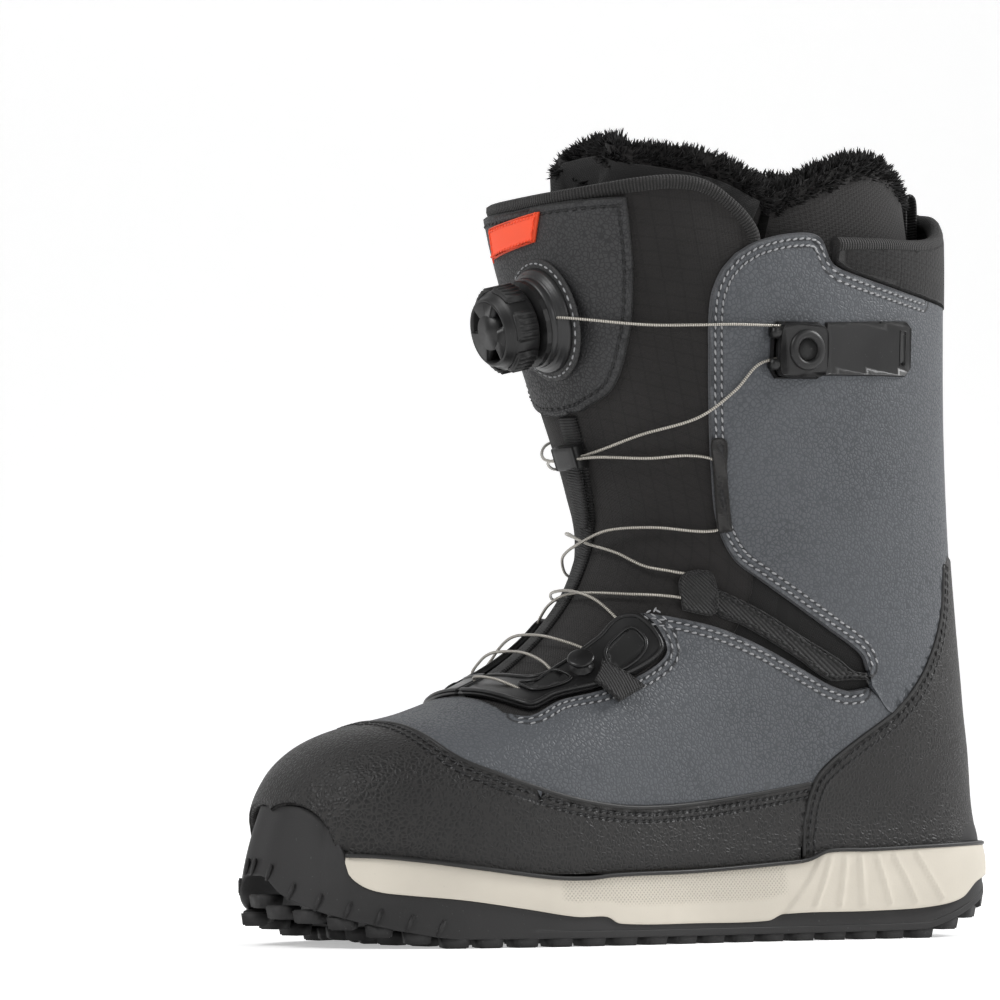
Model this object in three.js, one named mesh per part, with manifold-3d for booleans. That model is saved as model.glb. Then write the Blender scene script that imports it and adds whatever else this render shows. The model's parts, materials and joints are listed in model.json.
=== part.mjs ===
// Snowboard boot, left foot, built the way the real one is: sole unit, lasted shell, tongue, lace and
// dial system, and a removable liner. Millimetres, +Z up, toe towards -Y, outer side of the foot +X.
// The origin is the middle of the tread's contact with the ground.
import * as THREE from "three";
import { mergeVertices } from "three/addons/utils/BufferGeometryUtils.js";
import Module from "manifold-3d";

const wasm = await Module();
wasm.setup();

// ---------------------------------------------------------------- driving dimensions
const soleLength = 306;         // tip of the toe bumper to the back of the heel
const shaftHeight = 280;        // ground to the top of the outer shell's pattern
const ballWidth = 103.5;        // widest place of the upper, across the ball of the foot
const solePlateBottom = 5;      // lug depth under the rubber plate
const boardThick = 4.3;         // lasting board the upper is closed with
const panelThick = 2.0;         // leather panels
const liningThick = 2.0;        // textile lining, tongue and stiffeners
const linerSoleThick = 1.4;     // rubber sheet under the liner
const linerThick = 7.4;         // foam wall of the liner
const furThick = 3.6;           // pile lining of the liner's cuff
const footbedThick = 4.2;
const gap = 0.3;                // clearance between pieces that touch
const laceDiameter = 1.5;
const laceRoom = 0.35;          // clearance round the lace in its guides
const laceCrossOver = 2.1;      // how far one half of the lace rides over the other where they cross
const dialBaseRadius = 19.3;
const dialKnobRadius = 14.7;
const dialGripRadius = 16.1;
const dialHeight = 26;          // tongue surface to the knob's face
const spoolRadius = 9.5;
const dialTilt = 14;            // degrees that the dial's axis points below level
const dialSide = 7;             // how far the dial sits to the outer side of the centre line
const dialRise = 228;           // height of the dial's centre in the base pattern
const webbingWidth = 10.5;      // strip down the middle of the tongue
const tabSwingRoom = 2;         // clearance round the release hook that its tab swings clear of
const pullLoopWidth = 22;

// ---------------------------------------------------------------- the last
// The pattern is drafted for a 306 mm sole and graded to the driving dimensions, as a shoe pattern is.
const BASE_LENGTH = 306;
const BASE_HEIGHT = 280;
const BASE_BALL = 103.5;
const gradeY = soleLength / BASE_LENGTH;
const gradeZ = shaftHeight / BASE_HEIGHT;
const gradeX = ballWidth / BASE_BALL;
// Each section joins a point under the foot (or behind the leg) to one over the foot (or before the leg):
// [over y, over z, under y, under z, outer half width, inner half width, under power, over power]
const SECTIONS = [
  [-147.5, 40, -147.5, 36, 2, 2, 2.0, 2.0],
  [-145.5, 50, -144, 27, 17, 18, 2.2, 2.0],
  [-139.5, 61, -137, 23, 29, 30, 2.6, 2.1],
  [-128, 71, -125, 22, 39, 40, 3.2, 2.2],
  [-110, 78, -107, 22, 47.5, 46, 4.0, 2.3],
  [-85, 84, -82, 22, 53.5, 49, 4.0, 2.4],
  [-58, 95, -55, 22, 55, 48.5, 4.0, 2.3],
  [-35, 110, -25, 22, 52, 46, 3.8, 2.2],
  [-20, 127, 15, 22, 49, 45, 3.4, 2.2],
  [-14, 143, 60, 22, 47, 44.5, 3.0, 2.2],
  [-14, 154, 104, 22.5, 46.5, 45, 2.7, 2.3],
  [-16, 162, 134, 29, 46.5, 45.5, 2.5, 2.35],
  [-18.5, 169, 146, 52, 47, 46, 2.35, 2.4],
  [-21.5, 178, 144, 84, 47.5, 46.5, 2.3, 2.4],
  [-25.5, 190, 140.5, 118, 48.5, 47.5, 2.3, 2.5],
  [-30, 204, 137.5, 152, 50, 49, 2.3, 2.6],
  [-36, 224, 135.5, 192, 52, 51, 2.3, 2.7],
  [-41, 244, 135, 226, 54, 53, 2.3, 2.8],
  [-46, 263, 135, 252, 55.5, 54.5, 2.3, 2.9],
  [-50, 280, 134.5, 272, 56.5, 55.5, 2.3, 2.9],
  [-54, 304, 134, 300, 57.5, 56.5, 2.3, 2.9],
];
const LAST_SECTION = SECTIONS.length - 1;
const ROWS = [0, 0.6, 1.3, 2.2, 3.3, 4.5, 6, 7.5, 8.6, 9.7, 10.6, 11.4, 12.1, 13, 14.2, 16, 18, 20];
const AROUND = 18;

/** Catmull-Rom value of one column of the section table at position v. */
function sectionValue(column, v) {
  const i = Math.min(Math.floor(v), LAST_SECTION - 1);
  const f = v - i;
  const pick = (k) => SECTIONS[Math.min(Math.max(i + k, 0), LAST_SECTION)][column];
  const [a, b, c, d] = [pick(-1), pick(0), pick(1), pick(2)];
  const square = (2 * a - 5 * b + 4 * c - d) * f * f;
  return 0.5 * (2 * b + (c - a) * f + square + (3 * b - a - 3 * c + d) * f ** 3);
}

/** Point of the shell's outer surface: v runs from toe to cuff, u from the back (0) to the front (pi). */
function lastPoint(v, u) {
  const s = SECTIONS[0].map((_, column) => sectionValue(column, v));
  const power = Math.cos(u) > 0 ? s[6] : s[7];
  const along = Math.sign(Math.cos(u)) * Math.abs(Math.cos(u)) ** (2 / power);
  const across = Math.abs(Math.sin(u)) ** (2 / power);
  const share = (1 - along) / 2;
  const half = Math.sin(u) >= 0 ? s[4] : -s[5];
  const y = s[2] + (s[0] - s[2]) * share;
  const z = s[3] + (s[1] - s[3]) * share;
  return new THREE.Vector3(half * across * gradeX, y * gradeY, z * gradeZ);
}

/** Outward unit normal of the last at v, u. */
function lastNormal(v, u) {
  const e = 0.04;
  const low = Math.max(v - e, 0);
  const high = Math.min(v + e, LAST_SECTION);
  const dv = lastPoint(high, u).sub(lastPoint(low, u));
  const du = lastPoint(v, u + e).sub(lastPoint(v, u - e));
  return dv.cross(du).normalize();
}

/** Point lifted off the last's surface by a height. */
function onLast(v, u, lift) {
  return lastPoint(v, u).addScaledVector(lastNormal(v, u), lift);
}

/** Closed solid of the last, grown (or shrunk) by offset(v, u). */
function lastSolid(offset) {
  const positions = [];
  const index = [];
  const angle = (j) => -Math.PI + (2 * Math.PI * j) / AROUND;
  ROWS.forEach((v) => {
    for (let j = 0; j < AROUND; j += 1) positions.push(lastPoint(v, angle(j)));
  });
  const ring = (i, j) => i * AROUND + (j % AROUND);
  for (let i = 0; i < ROWS.length - 1; i += 1) {
    for (let j = 0; j < AROUND; j += 1) {
      index.push(ring(i, j), ring(i + 1, j), ring(i + 1, j + 1));
      index.push(ring(i, j), ring(i + 1, j + 1), ring(i, j + 1));
    }
  }
  const normals = vertexNormals(positions, index);
  const moved = positions.map((p, k) => {
    const v = ROWS[Math.floor(k / AROUND)];
    return p.clone().addScaledVector(normals[k], offset(v, angle(k % AROUND)));
  });
  closeRing(moved, index, 0, true);
  closeRing(moved, index, ROWS.length - 1, false);
  return solidFromPoints(moved, index);
}

/** Area-weighted normals of an indexed surface, pointing out of it. */
function vertexNormals(points, index) {
  const normals = points.map(() => new THREE.Vector3());
  for (let k = 0; k < index.length; k += 3) {
    const [a, b, c] = [index[k], index[k + 1], index[k + 2]];
    const face = new THREE.Vector3().subVectors(points[b], points[a]);
    face.cross(new THREE.Vector3().subVectors(points[c], points[a]));
    [a, b, c].forEach((q) => normals[q].add(face));
  }
  return normals.map((n) => n.normalize());
}

/** Fan that closes one end row of the last. */
function closeRing(points, index, row, atToe) {
  const first = row * AROUND;
  const middle = new THREE.Vector3();
  for (let j = 0; j < AROUND; j += 1) middle.add(points[first + j]);
  points.push(middle.divideScalar(AROUND));
  const hub = points.length - 1;
  for (let j = 0; j < AROUND; j += 1) {
    const a = first + j;
    const b = first + ((j + 1) % AROUND);
    index.push(...(atToe ? [hub, a, b] : [hub, b, a]));
  }
}

// ---------------------------------------------------------------- solids and booleans
function solidFromPoints(points, index) {
  const vertProperties = new Float32Array(points.flatMap((p) => [p.x, p.y, p.z]));
  return new wasm.Manifold(new wasm.Mesh({ numProp: 3, vertProperties,
    triVerts: new Uint32Array(index) }));
}

function solidOf(geometry) {
  const plain = geometry.index ? geometry.toNonIndexed() : geometry.clone();
  plain.deleteAttribute("normal");
  plain.deleteAttribute("uv");
  const merged = mergeVertices(plain, 1e-4);
  const vertProperties = new Float32Array(merged.attributes.position.array);
  const triVerts = [];
  const index = merged.index.array;
  for (let k = 0; k < index.length; k += 3) {
    const [a, b, c] = [index[k], index[k + 1], index[k + 2]];
    if (a !== b && b !== c && c !== a) triVerts.push(a, b, c);
  }
  return new wasm.Manifold(new wasm.Mesh({ numProp: 3, vertProperties,
    triVerts: new Uint32Array(triVerts) }));
}

function geometryOf(solid) {
  const mesh = solid.getMesh();
  const geometry = new THREE.BufferGeometry();
  const positions = new Float32Array(mesh.numVert * 3);
  for (let i = 0; i < mesh.numVert; i += 1) {
    for (let k = 0; k < 3; k += 1) positions[3 * i + k] = mesh.vertProperties[mesh.numProp * i + k];
  }
  geometry.setAttribute("position", new THREE.BufferAttribute(positions, 3));
  geometry.setIndex(new THREE.BufferAttribute(new Uint32Array(mesh.triVerts), 1));
  geometry.computeVertexNormals();
  return geometry;
}

/** Shape of an outline, without points that repeat the one before them. */
function shapeOf(points) {
  const apart = points.filter(([a, b], i) => {
    const [c, d] = points[(i + points.length - 1) % points.length];
    return Math.hypot(a - c, b - d) > 0.01;
  });
  return new THREE.Shape(apart.map(([a, b]) => new THREE.Vector2(a, b)));
}

/** Prism of a side-view outline of [y, z] points, from x = low to x = high. */
function sideBlock(points, low, high) {
  const graded = points.map(([y, z]) => [y * gradeY, z * gradeZ]);
  const geometry = new THREE.ExtrudeGeometry(shapeOf(graded), { depth: high - low, bevelEnabled: false });
  geometry.applyMatrix4(new THREE.Matrix4().set(0, 0, 1, low, 1, 0, 0, 0, 0, 1, 0, 0, 0, 0, 0, 1));
  return solidOf(geometry);
}

/** Prism of a plan outline of [x, y] points, from z = low to z = high. */
function planBlock(points, low, high) {
  const geometry = new THREE.ExtrudeGeometry(shapeOf(points), { depth: high - low, bevelEnabled: false });
  geometry.translate(0, 0, low);
  return solidOf(geometry);
}

function boxBlock(low, high) {
  const size = high.map((value, k) => value - low[k]);
  const geometry = new THREE.BoxGeometry(...size);
  geometry.translate(...low.map((value, k) => value + size[k] / 2));
  return solidOf(geometry);
}

const FAR = 90;
const bothSides = (points) => sideBlock(points, -FAR, FAR);
const oneSide = (points, side) => (side > 0 ? sideBlock(points, 0, FAR) : sideBlock(points, -FAR, 0));

// ---------------------------------------------------------------- layers of the shell, from the outside in
const layer = (offset) => lastSolid(() => offset);
const outerFace = layer(0);
const panelInner = layer(-panelThick);
const liningOuter = layer(-panelThick - gap);
const liningInner = layer(-panelThick - gap - liningThick);
const aboveBoard = boxBlock([-FAR, -200, 22 * gradeZ + boardThick + gap], [FAR, 200, 400]);
const panelLayer = outerFace.subtract(panelInner).intersect(aboveBoard);
const liningLayer = liningOuter.subtract(liningInner).intersect(aboveBoard);
const soleCup = layer(gap);

// The liner stands back from the shell's front and back towards the top of the cuff.
const LINER_SET = panelThick + liningThick + 2 * gap;
function linerInset(v, u) {
  const front = Math.max(0, (v - 13) / 7) ** 1.3 * 21 * Math.max(0, -Math.cos(u));
  const back = Math.max(0, (v - 15) / 5) * 9 * Math.max(0, Math.cos(u));
  return front + back + Math.max(0, (v - 13) / 7) * 3;
}
const linerFace = (depth) => lastSolid((v, u) => -LINER_SET - depth - linerInset(v, u));

// ---------------------------------------------------------------- side-view outlines, [y, z], base pattern
const RAND_TOP = [[-107, 82], [-99, 68], [-84, 60.8], [-60, 53.5], [-42, 50.2], [-24, 49], [4, 50.7],
  [40, 55.5], [55, 58]];
const COUNTER_FRONT = [[49.5, 20], [49.5, 28], [51.3, 44], [55, 58], [60, 64], [71.5, 72], [90, 83.2]];
const COUNTER_BACK = [[90, 83.2], [100, 92], [109, 102.5], [118, 119.5], [122, 140]];
const SLOT_LOWER = [[79, 93.3], [70, 92], [62, 94], [48.6, 100.3], [31.4, 108.4], [15.3, 114.5],
  [0.4, 118], [-8, 119.5], [-12.4, 120]];
const THROAT = [[-12.4, 120], [-8.5, 113], [-8, 105], [-20, 97], [-36.5, 91.3], [-52, 87.6], [-65, 82],
  [-72, 83], [-78, 95]];
const SHAFT_FRONT = [[79, 99], [75.7, 105.5], [61.6, 114.3], [48.3, 122.3], [31.8, 132.5], [22, 139.5],
  [15.3, 152.3], [11.5, 172.4], [9.2, 190.4], [7.4, 211.7], [6.6, 233.5], [10, 244], [16, 251]];
const SHAFT_TOP = [[25, 256], [42, 260], [52, 259], [58, 250], [65.5, 247], [92, 242], [113, 239.5],
  [150, 236]];
const TONGUE_REAR = [[-92, 84], [-80, 76], [-62, 72], [-40, 78], [-18, 86], [3, 96], [18, 108],
  [29, 126], [29, 140], [24, 156], [21, 174], [18, 192], [17, 214], [19, 240], [24, 256]];
const TONGUE_TOP = [[21, 262], [13.5, 268.5], [3.5, 274], [-8, 275.5], [-22, 274], [-36, 271.3],
  [-46, 269.5], [-60, 268]];
const IN_FRONT = [[-120, 268], [-120, 120]];

/** Outline moved by a small step in y and z, for the joint line between neighbours. */
const shifted = (points, dy, dz) => points.map(([y, z]) => [y + dy, z + dz]);
const backwards = (points) => [...points].reverse();

// ---------------------------------------------------------------- sole unit
const SOLE_PLAN = [[-2, -153], [14, -151.5], [32, -141], [46, -122], [55, -96], [58, -65], [57, -32],
  [52, 8], [48, 48], [47, 90], [43, 122], [29, 144], [2, 153], [-27, 144], [-41, 122], [-45, 90],
  [-45, 48], [-46, 8], [-50, -32], [-53, -65], [-50, -96], [-41, -122], [-29, -141], [-15, -151.5]];
const MID_TOP = [[-137, 32.4], [-127, 32], [-111, 30.3], [-94, 28], [-65, 24.4], [-50, 24], [-38, 25],
  [0, 26], [37, 28.2], [51, 29.5], [60, 32.6], [79, 33], [127, 34.7], [160, 35]];
const MID_BOTTOM = [[-137, 32.4], [-135.7, 26], [-132, 22], [-127, 19.9], [-119, 18.8], [-99, 16.9],
  [-75, 13.5], [-55, 10.6], [-42, 10.4], [-36.5, 7.9], [0, 7.4], [32, 7.7], [39, 10], [79, 10.6],
  [106, 11.7], [123, 14.7], [134, 21], [160, 26]];
const BUMPER_TOP = [[-160, 49], [-152, 49.4], [-149, 48.8], [-145, 46], [-142, 42], [-137, 32.4]];
const TREAD_LINE = [[-153.5, 24], [-151, 15.4], [-144, 10], [-136, 7], [-123, 3.6], [-108, 0.8],
  [-100, 0], [104, 0], [115, 2.4], [128, 6.6], [142, 12], [153.5, 18]];

function solePlan(inset) {
  const curve = new THREE.CatmullRomCurve3(
    SOLE_PLAN.map(([x, y]) => new THREE.Vector3(x * gradeX, y * gradeY, 0)), true, "catmullrom", 0.5);
  const points = curve.getPoints(48).slice(0, 48);
  return points.map((p, i) => {
    const t = points[(i + 1) % 48].clone().sub(points[(i + 47) % 48]).normalize();
    return [p.x - t.y * inset, p.y + t.x * inset];
  });
}

function lugBlocks() {
  const lugs = [];
  const ring = solePlan(7.5);
  for (let i = 0; i < 48; i += 2) {
    const [x, y] = ring[i];
    const [x2, y2] = ring[(i + 1) % 48];
    const lug = new THREE.BoxGeometry(12, 8.5, 60);
    lug.rotateZ(Math.atan2(y2 - y, x2 - x));
    lug.translate((x + x2) / 2, (y + y2) / 2, 20);
    lugs.push(solidOf(lug));
  }
  for (let k = -6; k <= 6; k += 1) {
    const half = k === 0 ? 9 : 11;
    const y = k * 19 * gradeY;
    const lean = k % 2 === 0 ? 0 : 3;
    const shape = [[-half, y - 5 + lean], [0, y - 5], [half, y - 5 + lean], [half, y + 4 + lean],
      [0, y + 4], [-half, y + 4 + lean]];
    lugs.push(planBlock(shape, -5, 7));
  }
  return wasm.Manifold.union(lugs);
}

function makeSoleUnit() {
  const whole = planBlock(solePlan(0), -5, 60).subtract(soleCup);
  const under = planBlock(solePlan(0), -5, 60);
  const plateBottom = shifted(TREAD_LINE, 0, solePlateBottom / gradeZ);
  const rubberRegion = [...backwards(BUMPER_TOP), [-165, 49],
    [-165, 20], ...plateBottom, [165, 26], ...backwards(MID_BOTTOM)];
  const lugRegion = [...TREAD_LINE, ...backwards(shifted(TREAD_LINE, 0, solePlateBottom / gradeZ + 0.6))];
  const tread = lugBlocks().intersect(bothSides(lugRegion)).intersect(under);
  const outsole = whole.intersect(bothSides(rubberRegion)).add(tread);
  const creamRegion = [...shifted(MID_TOP, 0.4, 0), ...backwards(shifted(MID_BOTTOM.slice(1), 0.4, gap))];
  const shankPocket = boxBlock([-11, -60 * gradeY, 22 * gradeZ - 2.1],
    [11, 62 * gradeY, 22 * gradeZ + 3]);
  const midsole = whole.intersect(bothSides(creamRegion)).subtract(shankPocket);
  const bumperRegion = [[128, 35.2], [160, 35.3], [160, 43], [140, 45], [131, 40]];
  const heelBumper = whole.intersect(bothSides(bumperRegion));
  const shank = boxBlock([-10.6, -59.6 * gradeY, 22 * gradeZ - 1.8],
    [10.6, 61.6 * gradeY, 22 * gradeZ - gap]);
  const board = outerFace.intersect(boxBlock([-FAR, -200, 0], [FAR, 200, 22 * gradeZ + boardThick]));
  return { outsole, midsole, heel_bumper: heelBumper, shank, lasting_board: board };
}

// ---------------------------------------------------------------- lace route
// Points are [section, angle, lift off the shell], by hand along the cable's real run from the dial down.
// An angle past pi lies on the inner side of the foot.
const PI = Math.PI;
const LACE_FROM_DIAL = [[16.2, 2.32, 2.4], [16.33, 2.02, 2.4], [16.43, 1.86, 2.6], [16.5, 1.74, 3.2]];
const LACE_ROUND_SHIELD = [[16.2, 2.86, 3.4], [16.2, 2.6, 2.6]];
const LACE_ROUND_UPPER_GUIDE = [[16.55, 1.655, 3.6], [16.58, 1.6, 3.6], [16.45, 1.555, 3.6],
  [16.22, 1.54, 3.6], [15.98, 1.56, 3.6], [15.87, 1.61, 3.6], [15.87, 1.665, 3.6]];
const LACE_TO_EDGE = [[15.78, 1.76, 3.2], [15.45, 1.88, 2.6], [14.9, 2.1, 2.3], [14.1, 2.48, 2.2],
  [13.3, 2.86, 2.2], [13.0, 3.12, 2.3], [13.18, PI + 0.3, 2.2], [13.55, PI + 0.68, 2.0],
  [14.0, PI + 0.95, 1.2]];
const LACE_DOWN_EDGE = [[14.12, PI + 1.1, 0.1], [13.85, PI + 1.135, -0.35], [13.35, PI + 1.12, -0.35],
  [12.9, PI + 1.1, -0.35], [12.6, PI + 1.06, 0.1]];
const LACE_TO_ANKLE = [[12.1, PI + 0.93, 1.3], [11.0, PI + 0.62, 1.9], [9.9, PI + 0.28, 2.1],
  [9.3, PI + 0.02, 2.4], [9.15, 2.8, 2.1], [9.25, 2.55, 1.8], [9.75, 2.36, 1.4]];
const LACE_ROUND_ANKLE_LOOP = [[10.2, 2.235, 0.7], [10.28, 2.17, 0.2], [10.1, 2.13, -0.1],
  [9.85, 2.12, -0.1], [9.62, 2.14, 0.1], [9.38, 2.22, 0.7]];
const LACE_TO_LOWER_GUIDE = [[8.9, 2.36, 1.5], [8.4, 2.58, 1.8], [8.05, 2.9, 2.0],
  [7.95, PI + 0.04, 2.3], [7.9, PI + 0.3, 2.0], [7.85, PI + 0.5, 1.6], [7.8, PI + 0.64, 0.9]];
const LACE_GUIDE_REAR = [[7.6, PI + 0.74, 0.15], [7.35, PI + 0.73, 0.15]];
const LACE_GUIDE_MIDDLE = [[6.95, PI + 0.7, 0.15], [6.5, PI + 0.66, 0.15]];
const LACE_HOOK = [[7.14, PI + 0.6, 0.5], [6.98, PI + 0.4, 1.5], [6.9, PI + 0.15, 2.3],
  [6.93, 3.0, 2.7], [6.97, 2.8, 3.5], [6.99, 2.6, 4.6], [6.96, 2.45, 4.9], [6.85, 2.365, 4.9],
  [6.7, 2.36, 4.9], [6.6, 2.45, 4.9], [6.58, 2.6, 4.6], [6.54, 2.8, 3.7], [6.5, 3.0, 2.9],
  [6.48, PI + 0.15, 2.3], [6.46, PI + 0.4, 1.5], [6.38, PI + 0.57, 0.5]];
const LACE_GUIDE_FRONT = [[6.15, PI + 0.64, 0.15], [5.97, PI + 0.58, 0.3], [5.87, PI + 0.4, 1.1],
  [5.84, PI + 0.18, 1.5], [5.83, PI, 1.7]];


/** Curve that steps evenly from point to point, so that tight bends keep their own points. */
class HandRoute extends THREE.CatmullRomCurve3 {
  getUtoTmapping(u) {
    return u;
  }
}

/** Cable centreline of one side. Crossing strands of the second side ride over the first by `over`. */
function laceHalf(side, over) {
  const throughHook = side > 0;
  const ending = throughHook
    ? [...LACE_GUIDE_REAR, ...LACE_HOOK, ...LACE_GUIDE_FRONT]
    : [...LACE_GUIDE_REAR, ...LACE_GUIDE_MIDDLE, ...LACE_GUIDE_FRONT];
  const start = side > 0 ? LACE_FROM_DIAL : [...LACE_ROUND_SHIELD, ...LACE_FROM_DIAL];
  const rows = [...start, ...LACE_ROUND_UPPER_GUIDE, ...LACE_TO_EDGE, ...LACE_DOWN_EDGE,
    ...LACE_TO_ANKLE, ...LACE_ROUND_ANKLE_LOOP, ...LACE_TO_LOWER_GUIDE, ...ending];
  const points = rows.map(([v, u, lift]) => {
    const crossing = Math.max(0, 1 - Math.abs(u - PI) / 0.6);
    return onLast(v, side > 0 ? u : -u, lift + over * Math.min(1, 1.6 * crossing));
  });
  return [dialPort(side), dialMouth(side), ...points];
}

/** Round tube along a list of points, with closed ends. */
function tubeAlong(points, radius) {
  const section = new THREE.Shape();
  section.absarc(0, 0, radius, 0, 2 * PI, false);
  const route = new HandRoute(points, false, "centripetal");
  const geometry = new THREE.ExtrudeGeometry(section, {
    steps: points.length - 1, curveSegments: 3, bevelEnabled: false, extrudePath: route,
  });
  return solidOf(geometry);
}

/** Prism of a front-view outline of [x, z] points, from y = low to y = high. */
function frontBlock(points, low, high) {
  const graded = points.map(([x, z]) => [x * gradeX, z * gradeZ]);
  const geometry = new THREE.ExtrudeGeometry(shapeOf(graded), { depth: high - low, bevelEnabled: false });
  geometry.applyMatrix4(new THREE.Matrix4().set(1, 0, 0, 0, 0, 0, -1, high, 0, 1, 0, 0, 0, 0, 0, 1));
  return solidOf(geometry);
}

// ---------------------------------------------------------------- dial
const tilt = THREE.MathUtils.degToRad(dialTilt);
const dialAxis = new THREE.Vector3(0, -Math.cos(tilt), -Math.sin(tilt));
const dialPlace = new THREE.Matrix4();

/** Seat of the dial: the point of the tongue's face at its height and side. */
function placeDial() {
  let best = null;
  for (let v = 14; v <= 18; v += 0.02) {
    for (let u = 2.6; u <= PI; u += 0.01) {
      const p = lastPoint(v, u);
      const miss = Math.hypot(p.x - dialSide, p.z - dialRise * gradeZ);
      if (best === null || miss < best.miss) best = { p, miss };
    }
  }
  const side = new THREE.Vector3(1, 0, 0);
  const up = new THREE.Vector3().crossVectors(dialAxis, side);
  dialPlace.makeBasis(side, up, dialAxis).setPosition(best.p);
}
placeDial();
const dialPocket = dialBaseRadius - 6;
const spoolLow = 2.4;
const spoolTall = 4.4;
const portHeight = spoolLow + spoolTall / 2;
const inDial = (x, y, z) => new THREE.Vector3(x, y, z).applyMatrix4(dialPlace);
const dialPort = (side) => inDial(side * (spoolRadius + laceDiameter / 2 + gap), 0, portHeight);
const dialMouth = (side) => inDial(side * (dialBaseRadius - 0.5), 0, portHeight);

/** Turned piece about the local Z axis: a profile of [radius, height] points, up the outside and back. */
function turned(profile, segments = 24) {
  const points = profile.map(([r, z]) => new THREE.Vector2(r, z));
  if (profile[0][0] > 0) points.push(points[0].clone());
  const geometry = new THREE.LatheGeometry(points, segments);
  geometry.rotateX(PI / 2);
  return solidOf(geometry);
}

/** Prism with lobes round its rim, between two heights. */
function lobed(radius, depth, count, low, high) {
  const outline = [];
  const total = count * 4;
  for (let k = 0; k < total; k += 1) {
    const a = (2 * PI * k) / total;
    const r = radius - depth * (0.5 - 0.5 * Math.cos(count * a)) ** 3;
    outline.push([r * Math.cos(a), r * Math.sin(a)]);
  }
  return planBlock(outline, low, high);
}

function makeDial() {
  const collar = dialPocket + 3;
  const base = turned([[0, -9], [dialBaseRadius, -9], [dialBaseRadius, 3.6], [dialBaseRadius - 1.5, 5],
    [collar, 5.4],
    [collar, 8], [dialPocket, 8], [dialPocket, spoolLow - gap], [0, spoolLow - gap]]);
  const spool = turned([[0, spoolLow], [spoolRadius, spoolLow], [spoolRadius, spoolLow + 1],
    [spoolRadius - 2.5, spoolLow + 1.4],
    [spoolRadius - 2.5, spoolLow + spoolTall - 1.4], [spoolRadius, spoolLow + spoolTall - 1],
    [spoolRadius, spoolLow + spoolTall], [4, spoolLow + spoolTall], [4, 8.6], [0, 8.6]], 16);
  const cartridge = turned([[4.4, 8.3], [collar, 8.3], [collar, 10.2], [dialPocket - 1, 11.6],
    [4.4, 11.6]]);
  const driver = turned([[0, 8.9], [3.9, 8.9], [3.9, 11.9], [11.6, 11.9], [11.6, 15.2], [4.2, 15.2],
    [4.2, 20], [0, 20]], 16);
  const teeth = lobed(11.6, 0.8, 12, 11, 16);
  const hub = planBlock([[-5, -5], [5, -5], [5, 5], [-5, 5]], 0, 30);
  const knob = turned([[12.3, 12.4], [dialKnobRadius, 12.4], [dialKnobRadius, dialHeight - 1.6],
    [dialKnobRadius - 1.6, dialHeight], [0, dialHeight], [0, 20.9], [4.6, 20.9], [4.6, 15.9],
    [12.3, 15.9]]);
  const rim = lobed(dialGripRadius, 0.7, 10, 13.2, 21.4);
  const bore = turned([[0, 10], [dialKnobRadius + gap, 10], [dialKnobRadius + gap, 30], [0, 30]]);
  const grip = rim.subtract(bore);
  const place = (solid) => solid.transform(dialPlace.toArray());
  return {
    dial_base: place(base).subtract(soleCup),
    dial_spool: place(spool),
    dial_cartridge: place(cartridge),
    dial_driver: place(driver.intersect(teeth.add(hub))),
    dial_knob: place(knob),
    dial_grip: place(grip),
  };
}

// ---------------------------------------------------------------- shell
const SHAFT_OUTLINE = [...SHAFT_FRONT, ...SHAFT_TOP, [150, 140.3],
  [121.7, 140.3], ...backwards(shifted(COUNTER_BACK, -0.4, 0.4)).slice(1), [80, 93.6]];
const VAMP_OUTLINE = [...RAND_TOP, ...COUNTER_FRONT.slice(4), ...SLOT_LOWER, ...THROAT.slice(1),
  [-80, 110], [-130, 100]];
const RAND_OUTLINE = [[-170, 100], [-107, 81.6], ...shifted(RAND_TOP, 0, -gap).slice(1, -1), [54.6, 57.7],
  ...backwards(shifted(COUNTER_FRONT, -gap, 0)).slice(4), [49.2, 0], [-170, 0]];
const COUNTER_OUTLINE = [...COUNTER_FRONT.slice(0, 4), ...shifted(COUNTER_FRONT, 0.1, -0.4).slice(4),
  ...COUNTER_BACK.slice(1), [170, 140], [170, 0], [49.5, 0]];
const COLLAR_LOW = [[59.5, 250.2], [65.8, 247.4], [92, 242.4], [113, 239.9], [150, 236.4]];
const COLLAR_RIM = [[150, 280], [140, 278], [133, 273], [128, 267], [120, 262.5], [105, 259],
  [80, 257.5], [60, 256.5]];
const TUNNEL = [[15.4, 149], [12.2, 172], [10.6, 183], [15.8, 183], [17, 172], [20.6, 150]];
const CUFF_TOP = [[36, 274], [50, 280], [66, 286], [82, 290], [98, 291], [112, 287], [124, 283],
  [150, 282]];
const LINER_THROAT = [[-90, 110], [-80, 86], [-72, 80], [-40, 84], [-5, 98], [16, 118], [22, 140],
  [24, 180], [28, 230], [36, 274]];
const LINER_TONGUE_TOP = [[34, 276], [24, 283], [8, 288.5], [-10, 289.5], [-70, 289.5]];

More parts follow.
